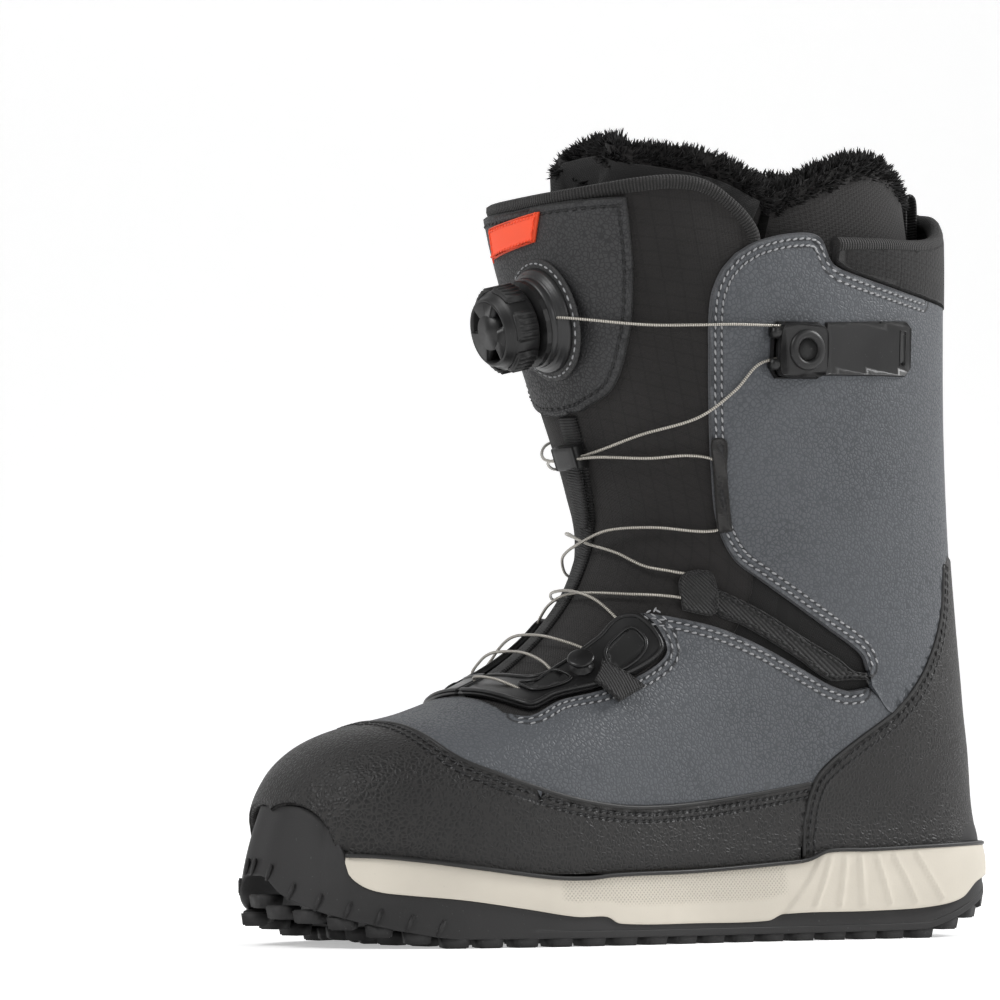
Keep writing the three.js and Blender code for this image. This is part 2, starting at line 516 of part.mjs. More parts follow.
function makeShell(lace) {
  const backBand = (half, top) => boxBlock([-half, 100 * gradeY, 140.3 * gradeZ],
    [half, 200, top * gradeZ]);
  const shaft = (side) => panelLayer
    .intersect(oneSide(SHAFT_OUTLINE, side))
    .subtract(backBand(8 + gap, 250))
    .subtract(oneSide(TUNNEL, side))
    .subtract(lace);
  const tunnelInside = [[15.8, 149.4], [12.6, 172], [11, 182.6], [15.4, 182.6], [16.6, 172],
    [20.1, 150.4]];
  const tunnel = (side) => layer(1.4).subtract(panelInner).intersect(oneSide(tunnelInside, side))
    .subtract(lace);
  const tongueOutline = [...TONGUE_REAR, ...TONGUE_TOP, ...IN_FRONT];
  const heelStiffener = [[30, 0], [42, 40], [60, 72], [90, 96], [112, 128], [170, 132], [170, 0]];
  const toePuff = [[-170, 0], [-170, 90], [-112, 84], [-106, 74], [-104, 60], [-108, 20], [-110, 0]];
  const liningTop = [[170, 234], ...backwards(shifted(SHAFT_TOP, 0, -3)).slice(1, 7), [26, 252]];
  const liningOutline = [[-170, 0], [-170, 110],
    [-100, 110], ...shifted(TONGUE_REAR, 0.3, -0.5), ...backwards(liningTop), [170, 0]];
  const lining = liningLayer.intersect(bothSides(liningOutline));
  const puffCut = bothSides([[-170, 0], [-170, 95], [-111.6, 90], [-105.6, 74], [-103.6, 60],
    [-107.6, 20], [-109.6, 0]]);
  const stiffCut = bothSides([[29.6, -1], [41.6, 40.2], [59.8, 72.4], [89.7, 96.4], [111.7, 128.4],
    [170, 132.4], [170, -1]]);
  const strapLow = [[79.5, 96], [70.9, 96], [61.6, 95.8], [46.1, 104.6], [25.5, 115.4], [14, 120.2]];
  const strapHigh = [[14.5, 129], [16.6, 128.4], [32, 121.4], [48.3, 112.4], [65.9, 103.4], [72, 99.4],
    [78, 98.6]];
  const strap = (side) => panelLayer.intersect(oneSide([...strapLow, ...strapHigh], side)).subtract(lace);
  const loopOutline = [[1.5, 120.5], [3, 133.5], [13.6, 134.5], [13.6, 119.4]];
  const loop = (side) => layer(1.9).subtract(panelInner).intersect(oneSide(loopOutline, side))
    .subtract(lace);
  return {
    rand: panelLayer.intersect(bothSides(RAND_OUTLINE)),
    vamp: panelLayer.intersect(bothSides(VAMP_OUTLINE)).subtract(lace),
    heel_counter_panel: panelLayer.intersect(bothSides(COUNTER_OUTLINE)),
    backstay: panelLayer.intersect(backBand(8, 237)),
    shaft_panel_outer: shaft(1),
    shaft_panel_inner: shaft(-1),
    rear_collar: outerFace.subtract(liningInner).intersect(bothSides([...COLLAR_LOW, ...COLLAR_RIM])),
    lining: lining.subtract(puffCut).subtract(stiffCut),
    toe_puff: liningLayer.intersect(bothSides(toePuff)),
    heel_stiffener: liningLayer.intersect(bothSides(heelStiffener)),
    tongue: liningLayer.intersect(bothSides(tongueOutline)),
    ankle_strap_outer: strap(1),
    ankle_strap_inner: strap(-1),
    ankle_loop_outer: loop(1),
    ankle_loop_inner: loop(-1),
    lace_tunnel_outer: tunnel(1),
    lace_tunnel_inner: tunnel(-1),
  };
}

const SHIELD = [[0, 193], [13, 194], [28, 201], [37, 218.5], [42, 240], [45, 266], [30, 267.5],
  [0, 268], [-30, 267.5], [-45, 266], [-42, 240], [-37, 218.5], [-28, 201], [-13, 194]];
const STRIP_MIDDLE = [[3, 192.4], [2, 178], [-1, 165], [-5, 150], [-8, 138], [-10, 126], [-10, 115],
  [-8, 104], [-4, 94], [1, 86.5], [4, 82]];

function makeTongueTrim(lace) {
  const shieldLayer = outerFace.subtract(panelInner);
  const half = webbingWidth / 2;
  const strip = [...STRIP_MIDDLE.map(([x, z]) => [x + half, z]),
    ...backwards(STRIP_MIDDLE).map(([x, z]) => [x - half, z])];
  const keeperBox = frontBlock([[-5, 174.5], [-5, 183], [9, 183], [9, 174.5]], -60, 20);
  const tag = frontBlock([[-21, 251], [-18, 262], [9, 263.5], [4, 254]], -90, 0);
  return {
    tongue_shield: shieldLayer.intersect(frontBlock(SHIELD, -80, -12 * gradeY)),
    tongue_webbing: layer(-0.5).subtract(panelInner).intersect(frontBlock(strip, -73 * gradeY, 5))
      .subtract(lace),
    lace_keeper: layer(6).subtract(layer(-0.2)).intersect(keeperBox).subtract(lace),
    label: layer(1.1).subtract(layer(gap)).intersect(tag),
  };
}

function makeGuides(lace) {
  const plate = layer(2.2).subtract(panelInner);
  const lowerOutline = [[-61, 100], [-70, 90], [-64, 84], [-52, 88.2], [-36.5, 91.9], [-20.4, 97.6],
    [-9, 105.4], [-9.4, 112.4], [-13.5, 118.5], [-19, 117.5], [-28, 109.5], [-43, 99.6], [-54, 95]];
  const lower = (side) => plate.intersect(oneSide(lowerOutline, side))
    .subtract(boxBlock([-26, -200, 0], [26, 200, 200])).subtract(lace);
  const clip = [[33, 206], [31, 209], [31, 224], [33, 227], [51, 227.5], [54, 225], [54, 209],
    [51, 206.5]];
  const leaf = [[54.4, 208], [54.4, 227.6], [94, 230.4], [97, 228], [97, 213], [94, 209.6]];
  const slot = [[90, 213.5], [90, 226.5], [93.5, 226.5], [93.5, 213.5]];
  const clipBody = layer(6.6).subtract(soleCup);
  const leafBody = layer(2.4).subtract(soleCup);
  return {
    lower_guide_outer: lower(1),
    lower_guide_inner: lower(-1),
    upper_guide_outer: clipBody.intersect(oneSide(clip, 1)).subtract(lace),
    upper_guide_inner: clipBody.intersect(oneSide(clip, -1)).subtract(lace),
    upper_guide_tab_outer: leafBody.intersect(oneSide(leaf, 1)).subtract(oneSide(slot, 1)),
    upper_guide_tab_inner: leafBody.intersect(oneSide(leaf, -1)).subtract(oneSide(slot, -1)),
  };
}

// ---------------------------------------------------------------- release hook and its pull tab
const hookSeat = [6.78, 2.46];
function makeRelease(lace) {
  const origin = onLast(hookSeat[0], hookSeat[1], 2.2 + gap);
  const out = lastNormal(hookSeat[0], hookSeat[1]);
  const side = new THREE.Vector3(0, 0, 1).cross(out).normalize();
  const place = new THREE.Matrix4().makeBasis(side, new THREE.Vector3().crossVectors(out, side),
    out).setPosition(origin);
  const disc = turned([[0, -2], [5, -2], [5, 1.2], [3, 1.2], [3, 3.6], [5, 3.6], [5, 4.6], [0, 4.6]], 14);
  const hook = disc.transform(place.toArray()).subtract(layer(2.2 + gap)).subtract(lace);
  const roomRadius = 5 + tabSwingRoom;
  const hookRoom = turned([[0, -6], [roomRadius, -6], [roomRadius, 12], [0, 12]], 14)
    .transform(place.toArray());
  const tabOutline = [[-41, 95.8], [-33.5, 102], [-20.7, 91.4], [-32.5, 85.6]];
  const tab = layer(4.1).subtract(layer(2.6)).intersect(oneSide(tabOutline, 1)).subtract(hookRoom)
    .subtract(lace);
  return { release_hook: hook, release_tab: tab };
}

// ---------------------------------------------------------------- liner
function makeLiner() {
  const foamFace = linerFace(0);
  const foamInner = linerFace(linerThick);
  const pileFace = linerFace(linerThick + gap);
  const pileInner = linerFace(linerThick + gap + furThick);
  const soleTop = 22 * gradeZ + LINER_SET + linerSoleThick;
  const aboveSole = boxBlock([-FAR, -200, soleTop + gap], [FAR, 200, 400]);
  const foam = foamFace.subtract(foamInner).intersect(aboveSole);
  const pile = pileFace.subtract(pileInner);
  const floorZ = 22 * gradeZ + LINER_SET + linerThick + gap;
  const toeInside = lastPoint(0, 0).y + LINER_SET + linerThick + 2;
  const rearRegion = [[-170, 0],
    [-170, 115], ...shifted(LINER_THROAT, gap, -gap), ...CUFF_TOP.slice(1), [150, 0]];
  const tongueSlope = shifted(LINER_THROAT, -gap, gap);
  const pileFront = [[27.5, 226], [35, 276], [34.6, 281], [24, 289.5], [8, 295.5], [-10, 297],
    [-70, 297], [-70, 226]];
  const pileRear = [[28.3, 226], [36.2, 276], [36.6, 281], [50, 286], [66, 292], [82, 296.5],
    [98, 297], [112, 293], [124, 289], [150, 288], [150, 226]];
  const strapBand = [[-70, 268], [-70, 283], [30, 271.5], [24, 258]];
  const wrap = linerFace(-1.6).subtract(linerFace(-gap)).intersect(bothSides(strapBand));
  return {
    liner_outsole: foamFace.intersect(boxBlock([-FAR, -200, 0], [FAR, 200, soleTop])),
    liner_boot: foam.intersect(bothSides(rearRegion)),
    liner_tongue: foam.intersect(bothSides([...tongueSlope, ...LINER_TONGUE_TOP, [-120, 289.5],
      [-120, 112]])),
    liner_fur_tongue: pile.intersect(bothSides(pileFront)),
    liner_fur_cuff: pile.intersect(bothSides(pileRear)),
    liner_strap: wrap,
    footbed: pileFace.intersect(boxBlock([-FAR, toeInside, floorZ - 2],
      [FAR, 200, floorZ + footbedThick])),
  };
}

function makePullLoop() {
  const half = pullLoopWidth / 2;
  const outside = lastPoint(19, 0).y - panelThick - gap - liningThick - 2.3;
  const profile = [[0, 262], [0, 283], [-1.7, 284.6], [-4.5, 284.6], [-6.1, 283], [-6.1, 264],
    [-4.7, 264], [-4.7, 282.6], [-3.7, 283.2], [-2.5, 283.2], [-1.4, 282.4], [-1.4, 262]];
  const placed = profile.map(([back, z]) => [(outside + back) / gradeY, z]);
  return { pull_loop: sideBlock(placed, -half, half) };
}

// ---------------------------------------------------------------- finishes
const finish = (color, roughness, metalness = 0) => ({ color, roughness, metalness });
const RUBBER = finish("#3b3a3b", 0.8);
const CREAM = finish("#c8c0b4", 0.7);
const GREY_LEATHER = finish("#55575b", 0.55);
const DARK_LEATHER = finish("#3a3838", 0.5);
const TEXTILE = finish("#262324", 0.9);
const WEBBING = finish("#1d1c1d", 0.85);
const PLASTIC = finish("#1c1b1c", 0.4);
const FOAM = finish("#232122", 0.95);
const PILE = finish("#121112", 1.0);
const CABLE = finish("#d8d4cc", 0.35, 0.4);
const TAG = finish("#f0502c", 0.6);
const BOARD = finish("#8d8272", 0.9);
const STEEL = finish("#9a9a9a", 0.35, 0.9);

const FINISHES = {
  outsole: RUBBER, midsole: CREAM, heel_bumper: RUBBER, shank: STEEL, lasting_board: BOARD,
  rand: DARK_LEATHER, vamp: GREY_LEATHER, heel_counter_panel: DARK_LEATHER, backstay: TEXTILE,
  shaft_panel_outer: GREY_LEATHER, shaft_panel_inner: GREY_LEATHER, rear_collar: TEXTILE, lining: TEXTILE,
  toe_puff: BOARD, heel_stiffener: BOARD, tongue: TEXTILE, tongue_shield: GREY_LEATHER,
    tongue_webbing: WEBBING,
  lace_keeper: WEBBING, label: TAG, ankle_strap_outer: WEBBING, ankle_strap_inner: WEBBING,
    ankle_loop_outer: WEBBING,
  ankle_loop_inner: WEBBING, lace_tunnel_outer: WEBBING, lace_tunnel_inner: WEBBING,
    lower_guide_outer: PLASTIC,
  lower_guide_inner: PLASTIC, upper_guide_outer: PLASTIC, upper_guide_inner: PLASTIC,
    upper_guide_tab_outer: PLASTIC,
  upper_guide_tab_inner: PLASTIC, release_hook: PLASTIC, release_tab: WEBBING, dial_base: PLASTIC,
    dial_spool: PLASTIC,
  dial_cartridge: PLASTIC, dial_driver: PLASTIC, dial_knob: PLASTIC, dial_grip: RUBBER, lace: CABLE,
    pull_loop: WEBBING,
  liner_outsole: RUBBER, liner_boot: FOAM, liner_tongue: FOAM, liner_fur_tongue: PILE,
    liner_fur_cuff: PILE,
  liner_strap: WEBBING, footbed: BOARD,
};

// ---------------------------------------------------------------- the boot
function makeBoot() {
  const outerHalf = laceHalf(1, 0);
  const innerHalf = laceHalf(-1, laceCrossOver);
  const cable = [...outerHalf, ...innerHalf.reverse().slice(1)];
  const lace = tubeAlong(cable, laceDiameter / 2);
  const laceSpace = tubeAlong(cable, laceDiameter / 2 + laceRoom);
  const dial = makeDial();
  dial.dial_base = dial.dial_base.subtract(laceSpace);
  const solids = {
    ...makeSoleUnit(), ...makeShell(laceSpace), ...makeTongueTrim(laceSpace), ...makeGuides(laceSpace),
    ...makeRelease(laceSpace), ...dial, lace, ...makePullLoop(), ...makeLiner(),
  };
  const boot = new THREE.Group();
  boot.name = "snowboard_boot";
  Object.entries(solids).forEach(([name, solid]) => {
    const mesh = new THREE.Mesh(geometryOf(solid), new THREE.MeshStandardMaterial(FINISHES[name]));
    mesh.name = name;
    boot.add(mesh);
  });
  return boot;
}

export default makeBoot();
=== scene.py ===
"""Snowboard boot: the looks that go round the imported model. Metres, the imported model's own frame."""
import json
import logging
import math
from collections.abc import Callable, Sequence
from dataclasses import dataclass, field
from enum import Enum

import bmesh
import bpy
import numpy as np
from mathutils import Matrix, Vector


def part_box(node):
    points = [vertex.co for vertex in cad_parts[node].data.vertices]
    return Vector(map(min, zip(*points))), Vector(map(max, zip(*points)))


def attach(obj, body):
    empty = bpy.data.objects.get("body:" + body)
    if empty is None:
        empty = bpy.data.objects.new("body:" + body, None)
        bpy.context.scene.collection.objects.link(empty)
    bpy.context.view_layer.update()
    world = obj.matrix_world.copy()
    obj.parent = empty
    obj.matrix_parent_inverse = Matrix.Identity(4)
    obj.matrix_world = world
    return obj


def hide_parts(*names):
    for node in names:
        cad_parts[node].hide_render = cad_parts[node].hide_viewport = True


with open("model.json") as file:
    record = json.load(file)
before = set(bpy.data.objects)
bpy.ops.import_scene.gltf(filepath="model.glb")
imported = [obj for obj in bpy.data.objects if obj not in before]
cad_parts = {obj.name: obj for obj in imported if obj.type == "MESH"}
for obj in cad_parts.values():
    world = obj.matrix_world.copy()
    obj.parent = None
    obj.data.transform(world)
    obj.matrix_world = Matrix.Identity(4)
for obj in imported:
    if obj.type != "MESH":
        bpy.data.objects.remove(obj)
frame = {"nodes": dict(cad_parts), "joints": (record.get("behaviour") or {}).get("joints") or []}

LOG = logging.getLogger("snowboard_boot")
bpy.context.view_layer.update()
MM = 0.001
PI = math.pi
ROOT = "root"

# ------------------------------------------------------------------ the pattern the upper is drafted on
# Each section: over y, over z, under y, under z, outer half, inner half, under power, over power (mm).
SECTIONS = np.array([
    [-147.5, 40, -147.5, 36, 2, 2, 2.0, 2.0], [-145.5, 50, -144, 27, 17, 18, 2.2, 2.0],
    [-139.5, 61, -137, 23, 29, 30, 2.6, 2.1], [-128, 71, -125, 22, 39, 40, 3.2, 2.2],
    [-110, 78, -107, 22, 47.5, 46, 4.0, 2.3], [-85, 84, -82, 22, 53.5, 49, 4.0, 2.4],
    [-58, 95, -55, 22, 55, 48.5, 4.0, 2.3], [-35, 110, -25, 22, 52, 46, 3.8, 2.2],
    [-20, 127, 15, 22, 49, 45, 3.4, 2.2], [-14, 143, 60, 22, 47, 44.5, 3.0, 2.2],
    [-14, 154, 104, 22.5, 46.5, 45, 2.7, 2.3], [-16, 162, 134, 29, 46.5, 45.5, 2.5, 2.35],
    [-18.5, 169, 146, 52, 47, 46, 2.35, 2.4], [-21.5, 178, 144, 84, 47.5, 46.5, 2.3, 2.4],
    [-25.5, 190, 140.5, 118, 48.5, 47.5, 2.3, 2.5], [-30, 204, 137.5, 152, 50, 49, 2.3, 2.6],
    [-36, 224, 135.5, 192, 52, 51, 2.3, 2.7], [-41, 244, 135, 226, 54, 53, 2.3, 2.8],
    [-46, 263, 135, 252, 55.5, 54.5, 2.3, 2.9], [-50, 280, 134.5, 272, 56.5, 55.5, 2.3, 2.9],
    [-54, 304, 134, 300, 57.5, 56.5, 2.3, 2.9]])
PATTERN_LENGTH = 306.0
PATTERN_WIDTH = 111.0
PATTERN_RIM = 275.5

Points = Sequence[Sequence[float]]
Array = np.ndarray
Mesh = bmesh.types.BMesh


def unit(vectors: Array) -> Array:
    """Vectors scaled to length one."""
    return vectors / (np.linalg.norm(vectors, axis=-1, keepdims=True) + 1e-12)


def smooth_line(points: Points, step: float = 1.6, closed: bool = False) -> Array:
    """Even smooth line through points, where a point given twice is a corner.

    Args:
        points: control points of any dimension.
        step: spacing wanted along the line, in the points' unit.
        closed: whether the line returns to its first point.

    Returns:
        The line's points, the last control point included unless closed.
    """
    p = np.array(points, float)
    count = len(p)
    line = []
    for i in range(count if closed else count - 1):
        b, c = p[i], p[(i + 1) % count]
        span = np.linalg.norm(c - b)
        if span < 1e-6:
            continue
        a = p[(i - 1) % count] if closed or i else b
        d = p[(i + 2) % count] if closed or i + 2 < count else c
        before, after = max(np.linalg.norm(b - a), 1e-6), max(np.linalg.norm(d - c), 1e-6)
        start = (c - b) if before < 1e-5 else (c - a) * span / (before + span)
        end = (c - b) if after < 1e-5 else (d - b) * span / (after + span)
        t = np.linspace(0, 1, max(2, int(round(span / step)) + 1), endpoint=False)[:, None]
        line.append((2 * t**3 - 3 * t**2 + 1) * b + (t**3 - 2 * t**2 + t) * start
                    + (3 * t**2 - 2 * t**3) * c + (t**3 - t**2) * end)
    if not closed:
        line.append(p[-1:])
    return np.concatenate(line)


def run_along(path: Array) -> Array:
    """Distance travelled along a line at each of its points."""
    return np.concatenate([[0], np.cumsum(np.linalg.norm(np.diff(path, axis=0), axis=1))])


def evenly(line: Array, step: float, closed: bool = False) -> Array:
    """The same line with its points an equal step apart."""
    path = np.concatenate([line, line[:1]]) if closed else line
    length = run_along(path)
    count = max(2, int(round(length[-1] / step)) + 1)
    marks = np.linspace(0, length[-1], count)
    spread = np.stack([np.interp(marks, length, path[:, k]) for k in range(path.shape[1])], 1)
    return spread[:-1] if closed else spread


@dataclass(frozen=True)
class Last:
    """The form under the upper: v runs from toe to cuff, u from 0 under or behind to pi over or before."""
    grade: tuple[float, float, float]

    def column(self, v: Array) -> Array:
        """Rows of the section table at positions v, by Catmull-Rom."""
        end = len(SECTIONS) - 1
        v = np.clip(np.asarray(v, float), 0, end)
        i = np.minimum(v.astype(int), end - 1)
        f = (v - i)[..., None]
        a, b, c, d = (SECTIONS[np.clip(i + k, 0, end)] for k in (-1, 0, 1, 2))
        return 0.5 * (2 * b + (c - a) * f + (2 * a - 5 * b + 4 * c - d) * f**2
                      + (3 * b - a - 3 * c + d) * f**3)

    def point(self, v: Array, u: Array) -> Array:
        """Surface points in metres."""
        s = self.column(v)
        cosine, sine = np.cos(u), np.sin(u)
        power = np.where(cosine > 0, s[..., 6], s[..., 7])
        share = (1 - np.sign(cosine) * np.abs(cosine) ** (2 / power)) / 2
        half = np.where(sine >= 0, s[..., 4], -s[..., 5])
        x = half * np.abs(sine) ** (2 / power)
        y = s[..., 2] + (s[..., 0] - s[..., 2]) * share
        z = s[..., 3] + (s[..., 1] - s[..., 3]) * share
        return np.stack([x, y, z], -1) * np.array(self.grade) * MM

    def normal(self, v: Array, u: Array) -> Array:
        """Outward unit normals."""
        e = 0.03
        low, high = np.maximum(v - e, 0), np.minimum(v + e, len(SECTIONS) - 1)
        return unit(np.cross(self.point(high, u) - self.point(low, u),
                             self.point(v, u + e) - self.point(v, u - e)))

    def lifted(self, v: Array, u: Array, lift: Array | float) -> Array:
        """Points a height, in metres, off the surface."""
        return self.point(v, u) + self.normal(v, u) * np.reshape(lift, (-1, 1))

    def from_side(self, points: Points) -> Array:
        """(v, u) of side-view pattern points [y, z], on the outer side, or on the ridge when beyond it."""
        p = np.array(points, float)
        grid = np.linspace(0, len(SECTIONS) - 1, 1601)
        table = self.column(grid)
        rise = table[:, :2] - table[:, 2:4]
        away = p[:, None, :] - table[None, :, 2:4]
        cross = rise[None, :, 0] * away[..., 1] - rise[None, :, 1] * away[..., 0]
        share = (away * rise).sum(-1) / (rise**2).sum(-1)
        crossing = np.sign(cross[:, :-1]) != np.sign(cross[:, 1:])
        miss = np.abs(np.clip(share, 0, 1) - share)[:, :-1] + np.where(crossing, 0, 1e3)
        k = miss.argmin(1)
        row = np.arange(len(p))
        first, second = cross[row, k], cross[row, k + 1]
        f = np.clip(first / np.where(first == second, 1, first - second), 0, 1)
        v = grid[k] + f * (grid[1] - grid[0])
        part = np.clip(share[row, k] * (1 - f) + share[row, k + 1] * f, 0, 1)
        s = self.column(v)
        along = 1 - 2 * part
        power = np.where(along > 0, s[:, 6], s[:, 7])
        u = np.arccos(np.clip(np.sign(along) * np.abs(along) ** (power / 2), -1, 1))
        return np.stack([v, u], 1)

    def from_front(self, points: Points) -> Array:
        """(v, u) of front-view pattern points [x, z] on the front of the leg."""
        p = np.array(points, float)
        v = np.interp(p[:, 1], SECTIONS[:, 1], np.arange(len(SECTIONS)))
        for _ in range(12):
            s = self.column(v)
            half = np.where(p[:, 0] >= 0, s[:, 4], s[:, 5])
            bend = np.arcsin(np.clip(np.abs(p[:, 0]) / half, 0, 1) ** (s[:, 7] / 2))
            share = (1 + np.cos(bend) ** (2 / s[:, 7])) / 2
            z = s[:, 3] + (s[:, 1] - s[:, 3]) * share
            v = np.clip(v + (p[:, 1] - z) / 22.0, 0, 20)
        return np.stack([v, PI - np.sign(p[:, 0]) * bend], 1)

    def trail(self, route: Array, step: float) -> tuple[Array, Array]:
        """Evenly spaced points and normals along a (v, u) route."""
        path = self.point(route[:, 0], route[:, 1])
        spots = evenly(path, step)
        near = self.nearest(spots, nearest_rows(spots, path, route))
        return spots, self.normal(near[:, 0], near[:, 1])

    def at_x(self, v: Array, x: float) -> Array:
        """Angle behind the leg where the surface is x pattern millimetres from the middle."""
        s = self.column(v)
        return np.arcsin(np.clip(x / s[..., 4], 0, 1) ** (s[..., 6] / 2))

    def behind(self, z: float) -> float:
        """Section position of a height on the back of the leg."""
        rear = slice(11, None)
        return float(np.interp(z, SECTIONS[rear, 3], np.arange(len(SECTIONS))[rear]))

    def nearest(self, spots: Array, start: Array) -> Array:
        """(v, u) of the surface points nearest to spots, from nearby guesses."""
        v, u = start[:, 0].copy(), start[:, 1].copy()
        e = 0.02
        for _ in range(5):
            base = self.point(v, u)
            dv, du = (self.point(v + e, u) - base) / e, (self.point(v, u + e) - base) / e
            away = spots - base
            a, b, c = (dv * dv).sum(1), (dv * du).sum(1), (du * du).sum(1)
            p, q = (dv * away).sum(1), (du * away).sum(1)
            det = a * c - b * b + 1e-14
            v = np.clip(v + np.clip((c * p - b * q) / det, -0.4, 0.4), 0, 20)
            u = u + np.clip((a * q - b * p) / det, -0.3, 0.3)
        return np.stack([v, u], 1)


def nearest_rows(spots: Array, line: Array, rows: Array) -> Array:
    """Row that belongs to the line point nearest each spot."""
    away = ((spots[:, None, :] - line[None, :, :]) ** 2).sum(-1)
    return rows[away.argmin(1)].copy()


def cornered(points: Points) -> list[Sequence[float]]:
    """Points each given twice, so that a smooth line turns sharply at them."""
    return [point for point in points for _ in (0, 1)]


def looped(line: Array) -> Array:
    """Line that ends on its first point."""
    return np.concatenate([line, line[:1]])


def settle(spots: Array, grade: tuple[float, float, float]) -> Array:
    """Shift that carries the low part of the upper out to the sole's edge.

    Args:
        spots: points of the last in metres.
        grade: the last's grade factors.

    Returns:
        Horizontal shifts in metres.
    """
    line, _ = Sole(grade).ring(2.0)
    edge = line * np.array(grade[:2]) * MM
    gap = spots[:, None, :2] - edge[None]
    near = (gap**2).sum(-1).argmin(1)
    away = edge[near] - spots[:, :2]
    length = np.linalg.norm(away, axis=1)
    z = spots[:, 2] / MM
    share = np.clip((66 - z) / 34, 0, 1)
    share = share * share * (3 - 2 * share)
    toe = np.clip((-130 - spots[:, 1] / MM) / 12, 0, 1)
    reach = np.clip(length - (3.4 + 5.5 * toe) * MM, 0, 12 * MM) * share * (1 - 0.6 * toe)
    shift = np.zeros_like(spots)
    shift[:, :2] = away / (length[:, None] + 1e-9) * reach[:, None]
    return shift


def far_from(spots: Array, line: Array) -> Array:
    """Distance from each spot to a polyline."""
    best = np.full(len(spots), 1e9)
    for a, b in zip(line[:-1], line[1:]):
        ab = b - a
        t = np.clip(((spots - a) @ ab) / (ab @ ab + 1e-15), 0, 1)
        best = np.minimum(best, ((spots - a - t[:, None] * ab) ** 2).sum(1))
    return np.sqrt(best)


# ------------------------------------------------------------------ shader writing
Socket = bpy.types.NodeSocket


class Shader:
    """Writes nodes into one node tree."""

    def __init__(self, tree: bpy.types.NodeTree) -> None:
        """Keeps the tree that nodes go into."""
        self.tree = tree

    def put(self, socket: Socket, value: object) -> None:
        """Links a socket to a socket, or sets its value."""
        if isinstance(value, bpy.types.NodeSocket):
            self.tree.links.new(value, socket)
        elif value is not None:
            socket.default_value = value

    def node(self, kind: str, inputs: dict | None = None, **settings: object) -> bpy.types.Node:
        """New node with its settings and inputs.

        Args:
            kind: the node type's name after ShaderNode.
            inputs: socket name or number to value or socket.
            **settings: properties of the node.

        Returns:
            The node.
        """
        made = self.tree.nodes.new("ShaderNode" + kind)
        for name, value in settings.items():
            setattr(made, name, value)
        for name, value in (inputs or {}).items():
            self.put(made.inputs[name], value)
        return made

    def math(self, operation: str, a: object, b: object = None, c: object = None) -> Socket:
        """Result of a maths node."""
        return self.node("Math", {0: a, 1: b, 2: c}, operation=operation).outputs[0]

    def vector(self, operation: str, a: object, b: object = None) -> Socket:
        """Result of a vector maths node."""
        return self.node("VectorMath", {0: a, 1: b}, operation=operation).outputs[0]

    def ramp(self, value: object, low: float, high: float, start: float = 0.0, end: float = 1.0) -> Socket:
        """Smooth step of a value from low to high."""
        return self.node("MapRange", {0: value, 1: low, 2: high, 3: start, 4: end},
                         interpolation_type="SMOOTHSTEP").outputs[0]

    def mix(self, share: object, a: object, b: object) -> Socket:
        """Colour between a and b."""
        made = self.node("Mix", data_type="RGBA")
        for index, value in ((0, share), (6, a), (7, b)):
            self.put(made.inputs[index], value)
        return made.outputs[2]

    def noise(self, where: object, scale: float, detail: float = 3.0, rough: float = 0.55) -> Socket:
        """Noise from 0 to 1."""
        return self.node("TexNoise", {"Vector": where, "Scale": scale, "Detail": detail,
                                      "Roughness": rough}).outputs[0]

    def place(self) -> Socket:
        """Object coordinates."""
        return self.node("TexCoord").outputs["Object"]

    def mark(self, name: str) -> Socket:
        """Value that the mesh keeps under a name."""
        return self.node("Attribute", attribute_name=name, attribute_type="GEOMETRY").outputs["Fac"]


class Effect(Enum):
    """Shared shader groups."""
    PEBBLE = "pebble_grain"
    WEAVE = "plain_weave"
    RIB = "ribbed_tape"
    SEAM = "seam_groove"
    DUST = "dust_and_wear"


def make_group(effect: Effect, inputs: dict[str, tuple[str, object]], outputs: Sequence[str],
               write: Callable[[Shader, dict], dict]) -> None:
    """Builds one shared shader group.

    Args:
        effect: which group.
        inputs: socket name to (Float or Vector, default value).
        outputs: names of its float outputs.
        write: takes the shader writer and the input sockets, and returns output name to socket.
    """
    tree = bpy.data.node_groups.new(effect.value, "ShaderNodeTree")
    for name, (kind, value) in inputs.items():
        socket = tree.interface.new_socket(name=name, in_out="INPUT", socket_type="NodeSocket" + kind)
        if value is not None:
            socket.default_value = value
    for name in outputs:
        tree.interface.new_socket(name=name, in_out="OUTPUT", socket_type="NodeSocketFloat")
    entry = tree.nodes.new("NodeGroupInput")
    leave = tree.nodes.new("NodeGroupOutput")
    for name, socket in write(Shader(tree), {s.name: s for s in entry.outputs if s.name}).items():
        tree.links.new(socket, leave.inputs[name])


def write_pebble(s: Shader, given: dict) -> dict:
    """Leather cells with creases between them."""
    wander = s.node("TexNoise", {"Vector": given["Place"], "Scale": 260.0, "Detail": 2.0}).outputs[1]
    shift = s.vector("SCALE", s.vector("SUBTRACT", wander, (0.5, 0.5, 0.5)), None)
    shift.node.inputs["Scale"].default_value = 0.0016
    moved = s.vector("ADD", given["Place"], shift)
    cells = s.node("TexVoronoi", {"Vector": moved, "Scale": given["Cells"], "Randomness": 1.0},
                   feature="DISTANCE_TO_EDGE").outputs["Distance"]
    fine = s.noise(given["Place"], 2400.0, 2.0)
    dome = s.ramp(cells, 0.0, 0.34)
    return {"Height": s.math("ADD", dome, s.math("MULTIPLY", fine, 0.18)),
            "Crease": s.math("SUBTRACT", 1.0, s.ramp(cells, 0.02, 0.17)),
            "Tone": s.noise(given["Place"], 22.0, 3.0)}


